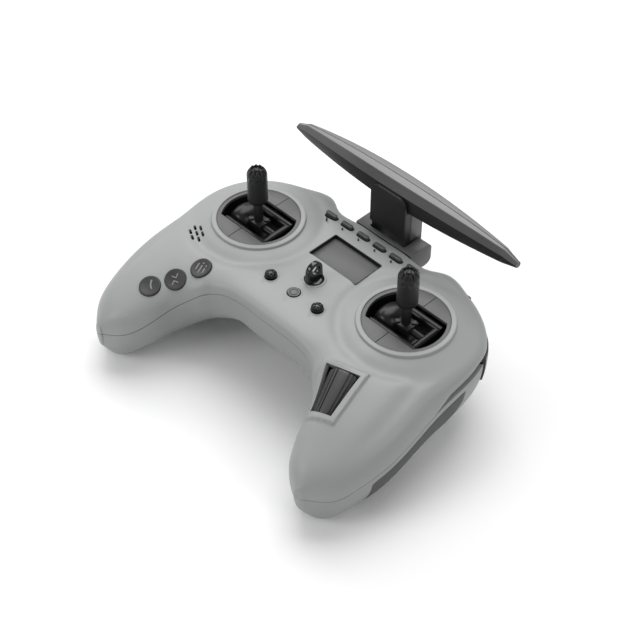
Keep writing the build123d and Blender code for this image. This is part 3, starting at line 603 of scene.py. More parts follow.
def stadium(width: float, height: float) -> list[Point2]:
    """Outline of a bar with round ends, long along X."""
    r, x = height / 2, (width - height) / 2
    return arc(x, 0, r, -90, 90) + arc(-x, 0, r, 90, 270)


def rounded(width: float, height: float, r: float) -> list[Point2]:
    """Outline of a rectangle with round corners."""
    x, y = width / 2 - r, height / 2 - r
    return arc(x, -y, r, -90, 0, 8) + arc(x, y, r, 0, 90, 8) + arc(-x, y, r, 90, 180, 8) + arc(-x, -y, r, 180, 270, 8)


def circle(r: float, steps: int = 64, cx: float = 0.0, cy: float = 0.0) -> list[Point2]:
    """Outline of a circle."""
    return arc(cx, cy, r, 0, 360 - 360 / steps, steps)


def moved(x: float, y: float, z: float) -> Matrix:
    """Placement at a point in millimetres."""
    return Matrix.Translation((x, y, z))


def facing(origin: Vector, out: Vector) -> Matrix:
    """Placement with Z along a direction and X level.

    Args:
        origin: the point, in millimetres.
        out: the direction of Z.

    Returns:
        The placement.
    """
    z = out.normalized()
    x = Vector((z.z, 0, -z.x)).normalized()
    turn = Matrix((x, z.cross(x), z)).transposed().to_4x4()
    turn.translation = origin
    return turn


def middle(node: str) -> Vector:
    """Middle of a CAD node's box, in millimetres."""
    low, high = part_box(node)
    return (low + high) / 2 / MM


def joint(name: str) -> dict:
    """A joint of the frame by name."""
    return next(j for j in frame["joints"] if j["name"] == name)


# ---------------------------------------------------------------------------------------------
# The case
# ---------------------------------------------------------------------------------------------


class Section(NamedTuple):
    """One cut through the body, from its outer edge to its inner edge, seen from above."""

    outer_x: float
    outer_y: float
    inner_x: float
    inner_y: float
    seam_outer: float
    seam_inner: float
    top: float
    bottom: float
    top_power: float
    bottom_power: float


@dataclass
class BodyForm:
    """The smooth outer form of the case, below a face at height 0, in millimetres."""

    seam: float = 0.2
    seam_round: float = 0.32
    seam_depth: float = 0.24
    sections: tuple[Section, ...] = (
        Section(0, 32, 0, -36, -8, -6, 0, -25, 5, 5),
        Section(14, 32, 10, -36, -8, -6, 0, -25, 5, 5),
        Section(27, 32.5, 18, -36.3, -8, -6, 0, -25, 4.5, 4.5),
        Section(34, 36.3, 22, -36.7, -8.5, -6.5, 0, -27, 4.2, 4.4),
        Section(46, 34, 26.5, -37.7, -9, -7.5, 0, -30, 3.6, 4.0),
        Section(60, 27.3, 30.5, -40, -10, -8.5, 0, -34, 3.1, 3.2),
        Section(71, 17.3, 33, -42.5, -12, -9.5, -0.2, -38, 2.8, 2.7),
        Section(75.2, 2.8, 36, -45, -12.5, -12, -0.8, -40.5, 2.6, 2.4),
        Section(76, -14, 39, -48.5, -14, -14.5, -2, -42.5, 2.5, 2.2),
        Section(77.3, -30, 41.5, -53, -17, -16.8, -4.5, -44, 2.5, 2.1),
        Section(77.2, -46, 43.5, -60, -21.5, -19.5, -8, -45, 2.5, 2.1),
        Section(74.7, -60, 47, -67.5, -25, -23, -12.5, -44.5, 2.4, 2.1),
        Section(69.7, -70, 52.5, -73.5, -27.5, -25, -17.5, -41.5, 2.2, 2.1),
        Section(63.5, -75.5, 58, -76.5, -27, -26, -22, -34.5, 2, 2),
    )

    def __post_init__(self) -> None:
        """Works out the spline through both halves' sections."""
        right = np.array(self.sections, float)
        left = right[:0:-1].copy()
        left[:, 0] *= -1
        left[:, 2] *= -1
        self.table = np.vstack([left, right])
        step = np.hypot(np.diff(right[:, 0] + right[:, 2]), np.diff(right[:, 1] + right[:, 3]))
        run = np.concatenate([[0], np.cumsum(step)])
        run = run / run[-1]
        self.knots = np.concatenate([-run[:0:-1], run])
        self.bend = self.second_derivatives()

    def second_derivatives(self) -> np.ndarray:
        """Second derivatives of the natural cubic spline at its knots."""
        count = len(self.knots)
        h = np.diff(self.knots)
        system = np.eye(count)
        right = np.zeros_like(self.table)
        for i in range(1, count - 1):
            system[i, i - 1:i + 2] = h[i - 1], 2 * (h[i - 1] + h[i]), h[i]
            right[i] = 6 * ((self.table[i + 1] - self.table[i]) / h[i] - (self.table[i] - self.table[i - 1]) / h[i - 1])
        return np.linalg.solve(system, right)

    def at(self, u: np.ndarray) -> np.ndarray:
        """Section values at places from -1, the left tip, to 1, the right tip."""
        k = np.clip(np.searchsorted(self.knots, u) - 1, 0, len(self.knots) - 2)
        h = (self.knots[k + 1] - self.knots[k])[:, None]
        a = (self.knots[k + 1] - u)[:, None] / h
        b = 1 - a
        curve = ((a ** 3 - a) * self.bend[k] + (b ** 3 - b) * self.bend[k + 1]) * h ** 2 / 6
        return a * self.table[k] + b * self.table[k + 1] + curve

    def arch(self, values: np.ndarray, angles: np.ndarray, over: bool, inset: float = 0.0,
             out: float = 0.0) -> np.ndarray:
        """Points over the top or under the bottom of sections.

        Args:
            values: section values, one row each.
            angles: angles from the outer edge, 0, to the inner edge, pi.
            over: the top half, or else the bottom.
            inset: distance inwards from the outside.
            out: depth of the rounding at the parting line.

        Returns:
            Rows by columns by three.
        """
        xo, yo, xi, yi, so, si, top, low, nt, nb = (values[:, k:k + 1] for k in range(10))
        power = nt if over else nb
        cosine, sine = np.cos(angles)[None, :], np.sin(angles)[None, :]
        radius = (np.abs(cosine) ** power + np.abs(sine) ** power) ** (-1 / power)
        length = np.hypot(xi - xo, yi - yo)
        mean = (so + si) / 2
        end = top if over else low
        taken = np.minimum(inset, np.minimum(0.35 * length, 0.35 * np.abs(end - mean)))
        rise = end - mean - taken * np.sign(end - mean)
        height = rise * radius * sine
        near = np.clip(1 - np.abs(height) / self.seam_round, 0, 1) ** 2
        pull = (taken + out * near) / length
        share = (1 - radius * cosine * (1 - 2 * pull)) / 2
        z = so + (si - so) * share + height + (self.seam / 2 if over else -self.seam / 2)
        return np.stack([xo + (xi - xo) * share, yo + (yi - yo) * share, z], axis=2)


SEAM_STEPS = (0.0, 0.008, 0.016, 0.026, 0.038, 0.055, 0.08, 0.115)
ROWS, COLUMNS = 520, 140


@dataclass
class Case:
    """The two shells, their openings, and the soft pads on the handles."""

    finishes: Finishes
    form: BodyForm
    face: float
    wall: float = 2.2
    rim_r: float = 20.25
    well_r: float = 18.0
    rim_height: float = 2.0
    flare: float = 1.1
    lip: float = 1.25
    valley: float = 1.3
    ridge: float = 0.75
    collars: tuple[tuple[float, float, float, float], ...] = (
        (13.55, -20.45, 3.4, 2.7), (-13.55, -20.45, 3.4, 2.7), (0.0, -20.45, 3.7, 2.95), (0.0, -9.0, 5.05, 4.2))
    collar_height: float = 0.72
    screen: tuple[float, float, float, float] = (27.3, 16.15, 9.2, 0.8)
    keys: tuple[int, float, float] = (6, 9.46, 24.8)
    key_hole: Point2 = (7.3, 3.05)
    lamp: tuple[float, float] = (3.1, 0.42)
    slot_size: Point2 = (3.3, 1.15)
    slot_pitch: Point2 = (3.9, 2.3)
    slot_turn: float = -30.0
    speaker: Point2 = (-56.6, -23.4)
    roller_rear: Point2 = (43.0, -35.2)
    roller_front: Point2 = (48.4, -53.5)
    roller_widths: Point2 = (14.8, 10.4)
    shoulder_line: tuple[Point2, Point2] = ((54.5, 32.0), (73.5, 15.6))
    shoulder_heights: Point2 = (-22.2, -9.3)

    def __post_init__(self) -> None:
        """Finds the stick centres from the frame and samples the form."""
        self.sticks = [middle(f"gimbal_cover_{side.word}") for side in Side]
        body = np.linspace(-1, 1, ROWS)
        inner = np.linspace(SEAM_STEPS[-1], math.pi - SEAM_STEPS[-1], COLUMNS)[1:-1]
        ends = np.array(SEAM_STEPS)
        self.angles = np.concatenate([ends, inner, (math.pi - ends)[::-1]])
        self.values = self.capped(self.form.at(body))
        self.top = self.relief(self.form.arch(self.values, self.angles, True, 0.0, self.form.seam_depth))
        self.tree = self.face_tree()

    def capped(self, values: np.ndarray) -> np.ndarray:
        """Closes both handle tips with a small dome of extra sections."""
        tip = []
        for t in (0.25, 0.5, 0.7, 0.85, 0.95, 0.995):
            scale = math.sqrt(1 - t * t)
            row = values[-1].copy()
            mid_x, mid_y = (row[0] + row[2]) / 2, (row[1] + row[3]) / 2
            mid_z = (row[4] + row[5]) / 2
            for a, mid in ((0, mid_x), (2, mid_x)):
                row[a] = mid + (row[a] - mid) * scale - 0.5 * t
            for a, mid in ((1, mid_y), (3, mid_y)):
                row[a] = mid + (row[a] - mid) * scale - 1.1 * t
            row[6] = mid_z + (row[6] - mid_z) * scale
            row[7] = mid_z + (row[7] - mid_z) * scale
            tip.append(row)
        right = np.array(tip)
        left = right[::-1].copy()
        left[:, 0] *= -1
        left[:, 2] *= -1
        return np.vstack([left, values, right])

    def relief(self, grid: np.ndarray) -> np.ndarray:
        """Raises the flares around the wells and collars, and models the soft valleys and ridges."""
        grid = grid.copy()
        x, y, z = grid[..., 0], grid[..., 1], grid[..., 2]
        z = z + self.outer_ridge(x, y)
        hills = [(c.x, c.y, self.rim_r, 0.55, 0.42, self.flare) for c in self.sticks]
        hills += [(cx, cy, r, 0.1, 0.7, 0.3) for cx, cy, r, _ in self.collars]
        for centre in self.sticks:
            far = np.hypot(x - centre.x, y - centre.y)
            z = z - self.valley * np.exp(-((far - self.rim_r - 7.0) / 3.2) ** 2)
        for cx, cy, r, height, slope, blend in hills:
            far = np.hypot(x - cx, y - cy)
            hill = height - slope * np.maximum(far - r, 0)
            raised = 0.5 * (z + hill + np.sqrt((z - hill) ** 2 + blend ** 2))
            near = np.clip((r * 1.75 + 3 - far) / (r * 0.4 + 1.5), 0, 1)
            z = z + (raised - z) * near * near * (3 - 2 * near)
        for cx, cy, r, _ in self.collars:
            far = np.hypot(x - cx, (y - cy + r + 0.7) * 1.2)
            z = z + 0.5 * np.exp(-(far / 1.0) ** 2)
        grid[..., 2] = z + self.roller_lip(x, y)
        return grid

    def outer_ridge(self, x: np.ndarray, y: np.ndarray) -> np.ndarray:
        """Soft crease and ridge that run beside the parting line on the outside of the handles."""
        spread = self.angles[None, :]
        crease = -self.ridge * np.exp(-((spread - 1.05) / 0.17) ** 2)
        crown = 0.5 * self.ridge * np.exp(-((spread - 0.66) / 0.22) ** 2)
        stretch = np.clip((4.0 - y) / 16, 0, 1) * np.clip((y + 62) / 20, 0, 1)
        stretch = stretch * np.clip((np.abs(x) - 52) / 8, 0, 1)
        return (crease + crown) * stretch * stretch * (3 - 2 * stretch)

    def roller_axes(self) -> tuple[Vector, Vector, float]:
        """Plan middle, direction and length of the roller's window."""
        rear, front = Vector(self.roller_rear), Vector(self.roller_front)
        return (rear + front) / 2, (rear - front).normalized(), (rear - front).length

    def roller_lip(self, x: np.ndarray, y: np.ndarray) -> np.ndarray:
        """Height of the raised lip around the roller's window at plan points."""
        mid, along, length = self.roller_axes()
        across = Vector((along.y, -along.x))
        u = (x - mid.x) * along.x + (y - mid.y) * along.y
        v = (x - mid.x) * across.x + (y - mid.y) * across.y
        rear, front = self.roller_widths
        half = (front + (rear - front) * (u / length + 0.5)) / 2
        far = np.maximum(np.abs(v) - half, np.abs(u) - length / 2)
        side = np.where(x > 0, 1.0, 0.0)
        outer = np.clip((2.9 - far) / 0.9, 0, 1)
        return self.lip * side * outer * outer * (3 - 2 * outer)

    def face_tree(self) -> BVHTree:
        """Search tree over the upper surface."""
        rows, wide = self.top.shape[:2]
        faces = [(a * wide + b, a * wide + b + 1, (a + 1) * wide + b + 1, (a + 1) * wide + b)
                 for a in range(rows - 1) for b in range(wide - 1)]
        return BVHTree.FromPolygons([Vector(p) for p in self.top.reshape(-1, 3)], faces)

    def on_face(self, x: float, y: float) -> tuple[Vector, Vector]:
        """Point and outward direction on the upper surface at a plan point."""
        point, normal, _, _ = self.tree.ray_cast(Vector((x, y, 60)), Vector((0, 0, -1)))
        return point, normal if normal.z > 0 else -normal

    def shell(self, outer: np.ndarray, inner: np.ndarray) -> Mesh:
        """Closed skin between an outer and an inner surface."""
        lift = np.array([0, 0, self.face])
        rows = np.concatenate([outer, inner[:, ::-1]], axis=1) + lift
        mesh = Mesh()
        mesh.loft(rows, True, True)
        return mesh

    def upper(self) -> bpy.types.Object:
        """The upper shell with its rims, collars and openings."""
        inner = self.form.arch(self.values, self.angles, True, self.wall)
        material = self.finishes.get(Finishes.CASE)
        shell = self.shell(self.top, inner).object("face_skin", [material], 50)
        cut(shell, self.openings())
        smooth(shell.data, 32)
        extras = Mesh()
        for centre in self.sticks:
            extras.ring(self.rim_profile(), 160, moved(centre.x, centre.y, self.face))
        for x, y, outer, hole in self.collars:
            extras.ring(self.collar_profile(outer, hole), 72, moved(x, y, self.face))
        rims = extras.object("rims", [material], 40)
        width, height, y, corner = self.screen
        liner = Mesh()
        rows = [[(x, b + y, z + self.face) for x, b in rounded(width - 2 * i, height - 2 * i, corner - i)]
                for i, z in ((0.0, -self.wall), (0.0, -0.3), (0.3, -0.3), (0.3, -self.wall))]
        liner.loft(np.array(rows + [rows[0]]), True, False)
        piece = joined("upper_case", [shell, rims, liner.object("liner", [self.finishes.get(Finishes.BLACK)], 40)])
        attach(piece, "case")
        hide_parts("upper_shell")
        return piece

    def rim_profile(self) -> list[Point2]:
        """Section of the raised rim around a stick well."""
        r0, r1, h = self.well_r, self.rim_r, self.rim_height
        crown = [(r1 - 0.55 + 0.55 * math.sin(a), h - 0.55 + 0.55 * math.cos(a)) for a in np.linspace(0, 1.5, 6)]
        lead = [(r0 + 0.35 - 0.35 * math.sin(a), h - 0.35 + 0.35 * math.cos(a)) for a in np.linspace(1.5, 0, 5)]
        return [(r0, -3.0), *lead, *crown, (r1 + 0.35, 0.6), (r1 + 0.4, -3.0)]

    def collar_profile(self, outer: float, hole: float) -> list[Point2]:
        """Section of a small raised collar."""
        h = self.collar_height
        outer += 0.2
        crown = [(outer - 0.35 + 0.35 * math.sin(a), h - 0.35 + 0.35 * math.cos(a)) for a in np.linspace(0, 1.5, 6)]
        lead = [(hole + 0.18 - 0.18 * math.sin(a), h - 0.18 + 0.18 * math.cos(a)) for a in np.linspace(1.5, 0, 4)]
        return [(hole, -self.wall), *lead, *crown, (outer + 0.1, 0.0), (outer + 0.1, -self.wall)]

    def openings(self) -> Mesh:
        """Everything that is cut through the upper shell."""
        tools = Mesh()
        up = moved(0, 0, self.face)
        for centre in self.sticks:
            tools.prism(circle(self.well_r + 0.6, 128), -14, 8, moved(centre.x, centre.y, self.face))
        for x, y, _, hole in self.collars:
            tools.prism(circle(hole + 0.12, 48), -6, 6, moved(x, y, self.face))
        width, height, y, corner = self.screen
        tools.prism(rounded(width, height, corner), -6, 6, moved(0, y, self.face))
        count, pitch, row = self.keys
        drop, lamp_r = self.lamp
        for k in range(count):
            x = (k - (count - 1) / 2) * pitch
            tools.prism(stadium(*self.key_hole), -6, 6, moved(x, row, self.face))
            tools.prism(circle(lamp_r, 20), -6, 6, moved(x, row - drop, self.face))
        for k in range(3):
            out = -Vector(joint(f"function_key_{k + 1}_press")["axis"])
            tools.prism(circle(4.8, 64), -5, 6, facing(middle(f"function_button_{k + 1}"), out))
        for place in self.speaker_places():
            tools.prism(stadium(*self.slot_size), -5, 6, place)
        tools.prism(self.roller_window(0.0), -16, 8, self.roller_place())
        for side in Side:
            self.add_shoulder(tools, side)
        return tools

    def speaker_places(self) -> list[Matrix]:
        """Placement of each sound slot, in rows of two, three and two."""
        point, out = self.on_face(*self.speaker)
        base = facing(point + Vector((0, 0, self.face)), out) @ Matrix.Rotation(math.radians(self.slot_turn), 4, "Z")
        places = []
        for row, count in ((-1, 2), (0, 3), (1, 2)):
            for k in range(count):
                shift = ((k - (count - 1) / 2) * self.slot_pitch[0], row * self.slot_pitch[1], 0)
                places.append(base @ Matrix.Translation(shift))
        return places

    def roller_place(self) -> Matrix:
        """Placement of the roller's window: Y along the axle, Z out of the handle."""
        axis = Vector(joint("roller_spin")["axis"])
        rear, _ = self.on_face(*self.roller_rear)
        front, _ = self.on_face(*self.roller_front)
        mid = (rear + front) / 2
        _, out = self.on_face(mid.x, mid.y)
        z = (out - axis * out.dot(axis)).normalized()
        turn = Matrix((axis.cross(z), axis, z)).transposed().to_4x4()
        turn.translation = mid + Vector((0, 0, self.face))
        return turn

    def roller_window(self, extra: float) -> list[Point2]:
        """Outline of the roller's window, let out by the extra."""
        rear, _ = self.on_face(*self.roller_rear)
        front, _ = self.on_face(*self.roller_front)
        a, b = self.roller_widths[1] / 2 + extra, self.roller_widths[0] / 2 + extra
        half = (rear - front).length / 2 + extra
        return [(-a, -half), (a, -half), (b, half), (-b, half)]

    def add_shoulder(self, tools: Mesh, side: Side) -> None:
        """Adds the space of one shoulder button to the cutters."""
        (x0, y0), (x1, y1) = self.shoulder_line
        run = Vector((x1 - x0, y1 - y0)).normalized()
        out = Vector((-run.y, run.x))
        a, b = Vector((x0, y0)) - run * 0.2, Vector((x1, y1)) + run * 0.2
        corners = [a - out * 8, b - out * 8, b + out * 12, a + out * 12]
        low, high = self.shoulder_heights
        outline = [(side.value * p.x, p.y) for p in corners]
        tools.prism(outline, low, high, moved(0, 0, self.face))

    def lower(self) -> bpy.types.Object:
        """The lower shell with the collar of the rear bay."""
        outer = self.form.arch(self.values, self.angles, False, 0.0, self.form.seam_depth)
        inner = self.form.arch(self.values, self.angles, False, self.wall)
        material = self.finishes.get(Finishes.CASE_BACK)
        shell = self.shell(outer, inner).object("back_skin", [material], 50)
        tools = Mesh()
        low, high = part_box("module_bay_cover")
        low, high = low / MM, high / MM
        mid_y = (low.y + high.y) / 2
        size = (high.x - low.x, high.y - low.y)
        tools.prism(rounded(size[0] - 4.8, size[1] - 4.8, 6), high.z - 2, self.face - 12, moved(0, mid_y, 0))
        for side in Side:
            self.add_shoulder(tools, side)
        cut(shell, tools)
        smooth(shell.data, 32)
        skirt = Mesh()
        top = self.face - 23.5
        rows = []
        for inset, z in ((0.6, high.z + 0.1), (0.0, high.z + 0.6), (0.0, top), (2.4, top), (2.4, high.z + 0.1)):
            rows.append([(x, y + mid_y, z) for x, y in rounded(size[0] - 2 * inset, size[1] - 2 * inset, 7 - inset / 2)])
        skirt.loft(np.array(rows + [rows[0]]), True, False)
        piece = joined("lower_case", [shell, skirt.object("skirt", [material], 40)])
        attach(piece, "case")
        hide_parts("lower_shell")
        return piece

    def pads(self) -> None:
        """The rubber pads on the outside of both handles."""
        for side in Side:
            u = np.linspace(0.545, 0.855, 90)
            t = (u - u[0]) / (u[-1] - u[0])
            values = self.form.at(u)
            drop = np.abs(values[:, 7] - (values[:, 4] + values[:, 5]) / 2)
            start = 2.3 / drop
            reach = 1.2 * np.sqrt(np.clip(t / 0.6, 0, 1)) * (1 - 0.35 * np.clip((t - 0.9) / 0.1, 0, 1) ** 2)
            rows = []
            for k, row in enumerate(values):
                spread = start[k] + (0.03 + reach[k]) * np.linspace(0, 1, 40)
                edge = np.clip(np.minimum(np.linspace(0, 1, 40), np.linspace(1, 0, 40)) * 14, 0, 1)
                close = min(1.0, 12 * min(t[k], 1 - t[k]) + 0.05)
                proud = -0.3 + 0.6 * np.sqrt(edge) * math.sqrt(close)
                under = np.stack([self.form.arch(row[None], np.array([a]), False, -p)[0, 0]
                                  for a, p in zip(spread, proud)])
                back = self.form.arch(row[None], spread[::-1], False, 0.9)[0]
                rows.append(np.concatenate([under, back]))
            grid = np.array(rows)
            grid[..., 0] *= side.value
            grid[..., 2] += self.face
            mesh = Mesh()
            mesh.loft(grid, True, True)
            piece = mesh.object(f"grip_{side.word}", [self.finishes.get(Finishes.GRIP)], 60)
            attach(piece, "case")
            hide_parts(f"grip_pad_{side.word}")

    def build(self) -> None:
        """Builds both shells and the pads."""
        log.info("made %s", self.upper().name)
        log.info("made %s", self.lower().name)
        self.pads()
        log.info("made grip pads")


# ---------------------------------------------------------------------------------------------
# Sticks and small controls
# ---------------------------------------------------------------------------------------------


def crowned(r: float, height: float, teeth: int, tooth: float, dish: float, collar: float, dimples: float) -> np.ndarray:
    """Rows of a turned grip with a crown of teeth.

    Args:
        r: its radius.
        height: its height.
        teeth: number of teeth.
        tooth: how deep the teeth are cut.
        dish: radius of the dished top.
        collar: height over which the grip tapers to its crown.
        dimples: depth of the ring of dimples.

    Returns:
        Rows by columns by three, from the foot up and into the dish.
    """
    around = 24 * teeth
    angles = np.linspace(0, 2 * math.pi, around, endpoint=False)
    wave = np.abs(np.cos(angles * teeth / 2)) ** 0.55
    steps = [(r * 0.86, 0.0), (r * 0.97, 0.25 * collar), (r, 0.5 * collar)]
    steps += [(r, z) for z in np.linspace(0.9 * collar, height - 1.5 * collar, 22)]
    steps += [(r * (1 - 0.30 * s ** 1.7), height - collar * (1.5 - 1.35 * s)) for s in np.linspace(0.08, 1, 9)]
    rows = []
    for radius, z in steps:
        low = np.clip(1 - np.abs(z - (height - 1.9 * collar)) / (0.55 * collar), 0, 1)
        pit = dimples * low * np.abs(np.cos(angles * teeth / 2)) ** 3
        drop = tooth * (1 - wave) * np.clip((z - (height - 1.2 * collar)) / (1.05 * collar), 0, 1)
        rows.append(np.stack([(radius - pit) * np.cos(angles), (radius - pit) * np.sin(angles),
                              np.full(around, z) - drop], axis=1))
    for radius, z in ((dish + 0.25 * (r - dish), height), (dish, height - 0.2 * tooth), (dish * 0.92, height - tooth),
                      (dish * 0.5, height - 1.15 * tooth), (0.02, height - 1.2 * tooth)):
        drop = tooth * (1 - wave) if z > height - 0.5 * tooth else 0 * wave
        rows.append(np.stack([radius * np.cos(angles), radius * np.sin(angles), np.full(around, z) - drop], axis=1))
    return np.array(rows)


@dataclass
class Gimbal:
    """One stick: its grip, its rocking frame and the plate inside it."""

    finishes: Finishes
    side: Side
    grip_r: float = 4.35
    teeth: int = 10
    tooth: float = 1.1
    collar: float = 2.2
    dimples: float = 0.35
    frame_x: float = 12.0
    bar_y: float = 7.9
    bar_half: float = 1.9
    bar_low: float = -6.7
    bar_high: float = 2.5
    barrel_x: float = -8.1
    barrel_r: float = 5.9
    pin_r: float = 1.6
    plate_drop: float = 6.3

    def build(self) -> None:
        """Builds the grip, the frame and the plate."""
        self.grip()
        self.yoke()
        self.plate()

    def pivot(self) -> Vector:
        """The point that the stick turns about, in millimetres."""
        return Vector(joint(f"stick_{self.side.word}_sideways")["pos_m"]) / MM

    def grip(self) -> None:
        """The toothed grip with its end screw."""
        low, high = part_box(f"stick_grip_{self.side.word}")
        low, high = low / MM, high / MM
        centre = (low + high) / 2
        mesh = Mesh()
        mesh.loft(crowned(self.grip_r, high.z - low.z, self.teeth, self.tooth, 2.1, self.collar, self.dimples),
                  True, True, moved(centre.x, centre.y, low.z))
        mesh.lathe([(0.02, 0), (1.15, 0), (1.15, 0.5), (0.95, 0.7), (0.6, 0.55), (0.02, 0.55)], 32,
                   moved(centre.x, centre.y, high.z - 1.35))
        piece = mesh.object(f"thumb_grip_{self.side.word}", [self.finishes.get(Finishes.STICK)], 38)
        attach(piece, f"stick_{self.side.word}")
        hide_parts(f"stick_grip_{self.side.word}")
        log.info("made %s", piece.name)

    def bar(self, mesh: Mesh, start: Vector, end: Vector, half: float, where: Matrix) -> None:
        """Adds a tall bar with a round top and softened foot.

        Args:
            mesh: the mesh that gets it.
            start: middle of its first end.
            end: middle of its last end.
            half: half its thickness.
            where: placement of the frame.
        """
        run = (end - start).normalized()
        across = Vector((-run.y, run.x, 0))
        outline = [(half * math.cos(a), self.bar_high - half + half * math.sin(a)) for a in np.linspace(0, math.pi, 12)]
        outline += [(-half, self.bar_low + 0.4), (0.4 - half, self.bar_low), (half - 0.4, self.bar_low),
                    (half, self.bar_low + 0.4)]
        rows = []
        for share, scale in ((0.0, 0.72), (0.02, 0.92), (0.05, 1.0), (0.95, 1.0), (0.98, 0.92), (1.0, 0.72)):
            spot = start + (end - start) * share
            rows.append([spot + across * u * scale + Vector((0, 0, v * (0.94 + 0.06 * scale))) for u, v in outline])
        mesh.loft(np.array([[tuple(p) for p in row] for row in rows]), True, True, where)

    def yoke(self) -> None:
        """The frame that rocks sideways: two long bars, an end bar, a barrel and two trunnions."""
        spot = self.pivot()
        where = moved(spot.x, spot.y, spot.z)
        mesh = Mesh()
        x, y, half = self.frame_x, self.bar_y, self.bar_half
        for way in (-1, 1):
            self.bar(mesh, Vector((-x, way * y, 0)), Vector((x, way * y, 0)), half, where)
            pin = [(0.02, 0), (self.pin_r, 0), (self.pin_r, 7.9), (self.pin_r - 0.3, 8.2), (0.02, 8.2)]
            mesh.lathe(pin, 32, where @ moved(0, way * y, 0) @ Matrix.Rotation(-way * math.pi / 2, 4, "X"))
        self.bar(mesh, Vector((x - 1.6, -y, -0.6)), Vector((x - 1.6, y, -0.6)), 1.7, where)
        barrel = [(self.barrel_r * math.cos(a) ** 0.42, 6.3 * math.sin(a)) for a in np.linspace(-1.5, 1.5, 21)]
        mesh.lathe([(0.02, -6.3), *barrel, (0.02, 6.3)], 56,
                   where @ moved(self.barrel_x, 0, -0.8) @ Matrix.Rotation(math.pi / 2, 4, "X"))
        piece = mesh.object(f"rocking_frame_{self.side.word}", [self.finishes.get(Finishes.BLACK)], 40)
        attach(piece, f"yoke_{self.side.word}")
        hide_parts(f"gimbal_yoke_{self.side.word}")
        log.info("made %s", piece.name)

    def plate(self) -> None:
        """The bright plate between the frame's bars."""
        spot = self.pivot()
        where = moved(spot.x + 2.9, spot.y, spot.z - self.plate_drop)
        loops = [rounded(11.0, 11.4, 1.5), circle(2.6, 32, -2.9, 0)[::-1]]
        piece = bevelled(f"frame_plate_{self.side.word}", loops, 0.8, 0.15, where, self.finishes.get(Finishes.PLATE))
        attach(piece, f"yoke_{self.side.word}")
        log.info("made %s", piece.name)


@dataclass
class TrimHat:
    """One small thumb hat."""

    finishes: Finishes
    side: Side
    r: float = 2.45
    teeth: int = 6

    def build(self) -> None:
        """Builds the toothed dome and its stem."""
        low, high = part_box(f"trim_hat_{self.side.word}")
        low, high = low / MM, high / MM
        centre = (low + high) / 2
        foot = high.z - 2.0
        mesh = Mesh()
        mesh.loft(crowned(self.r, 2.0, self.teeth, 0.55, 0.8, 1.25, 0.1), True, True, moved(centre.x, centre.y, foot))
        mesh.lathe([(0.02, low.z - foot), (1.0, low.z - foot + 0.3), (1.6, low.z - foot + 1.6), (1.1, -3.4), (1.1, 0.1),
                    (0.02, 0.1)], 32, moved(centre.x, centre.y, foot))
        piece = mesh.object(f"trim_cap_{self.side.word}", [self.finishes.get(Finishes.GLOSS)], 38)
        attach(piece, f"trim_{self.side.word}")
        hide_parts(f"trim_hat_{self.side.word}")
        log.info("made %s", piece.name)


@dataclass
class Roller:
    """The tapered thumb roller, ribbed but for one smooth panel."""

    finishes: Finishes
    rear_r: float = 7.5
    front_r: float = 5.3
    ribs: int = 26
    groove: float = 0.6
    panel: float = 0.27
    around: int = 360

    def build(self) -> None:
        """Builds the drum and its axle."""
        turning = joint("roller_spin")
        spot, axis = Vector(turning["pos_m"]) / MM, Vector(turning["axis"])
        points = [v.co / MM for v in frame["nodes"]["roller_wheel"].data.vertices]
        along = [(p - spot).dot(axis) for p in points if (p - spot - axis * (p - spot).dot(axis)).length > 3]
        low, high = min(along), max(along)
        up = (Vector((0, 0, 1)) - axis * axis.z).normalized()
        turn = Matrix((axis.cross(up).normalized(), axis, up)).transposed().to_4x4()
        turn.translation = spot
        angles = np.linspace(0, 2 * math.pi, self.around, endpoint=False)
        wave = np.clip(np.cos(angles * self.ribs) * 2.2 - 0.6, 0, 1)
        smooth_part = np.abs((angles - math.pi / 2 + math.pi) % (2 * math.pi) - math.pi) < self.panel
        depth = np.where(smooth_part, 0.0, self.groove * wave)
        rows = []
        for share, inset in ((0, 0.6), (0.02, 0.15), (0.06, 0), (0.5, 0), (0.94, 0), (0.98, 0.15), (1, 0.6)):
            radius = self.front_r + (self.rear_r - self.front_r) * share - inset - depth
            place = np.full_like(angles, low + (high - low) * share)
            rows.append(np.stack([radius * np.cos(angles), place, radius * np.sin(angles)], axis=1))
        mesh = Mesh()
        mesh.loft(np.array(rows), True, True, turn)
        axle = [(0.02, low - 2.2), (1.3, low - 2.2), (1.5, low - 2), (1.5, high + 2), (1.3, high + 2.2), (0.02, high + 2.2)]
        mesh.lathe(axle, 32, turn @ Matrix.Rotation(-math.pi / 2, 4, "X"))
        piece = mesh.object("thumb_roller", [self.finishes.get(Finishes.ROLLER)], 50)
        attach(piece, "roller")
        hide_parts("roller_wheel")
        log.info("made %s", piece.name)


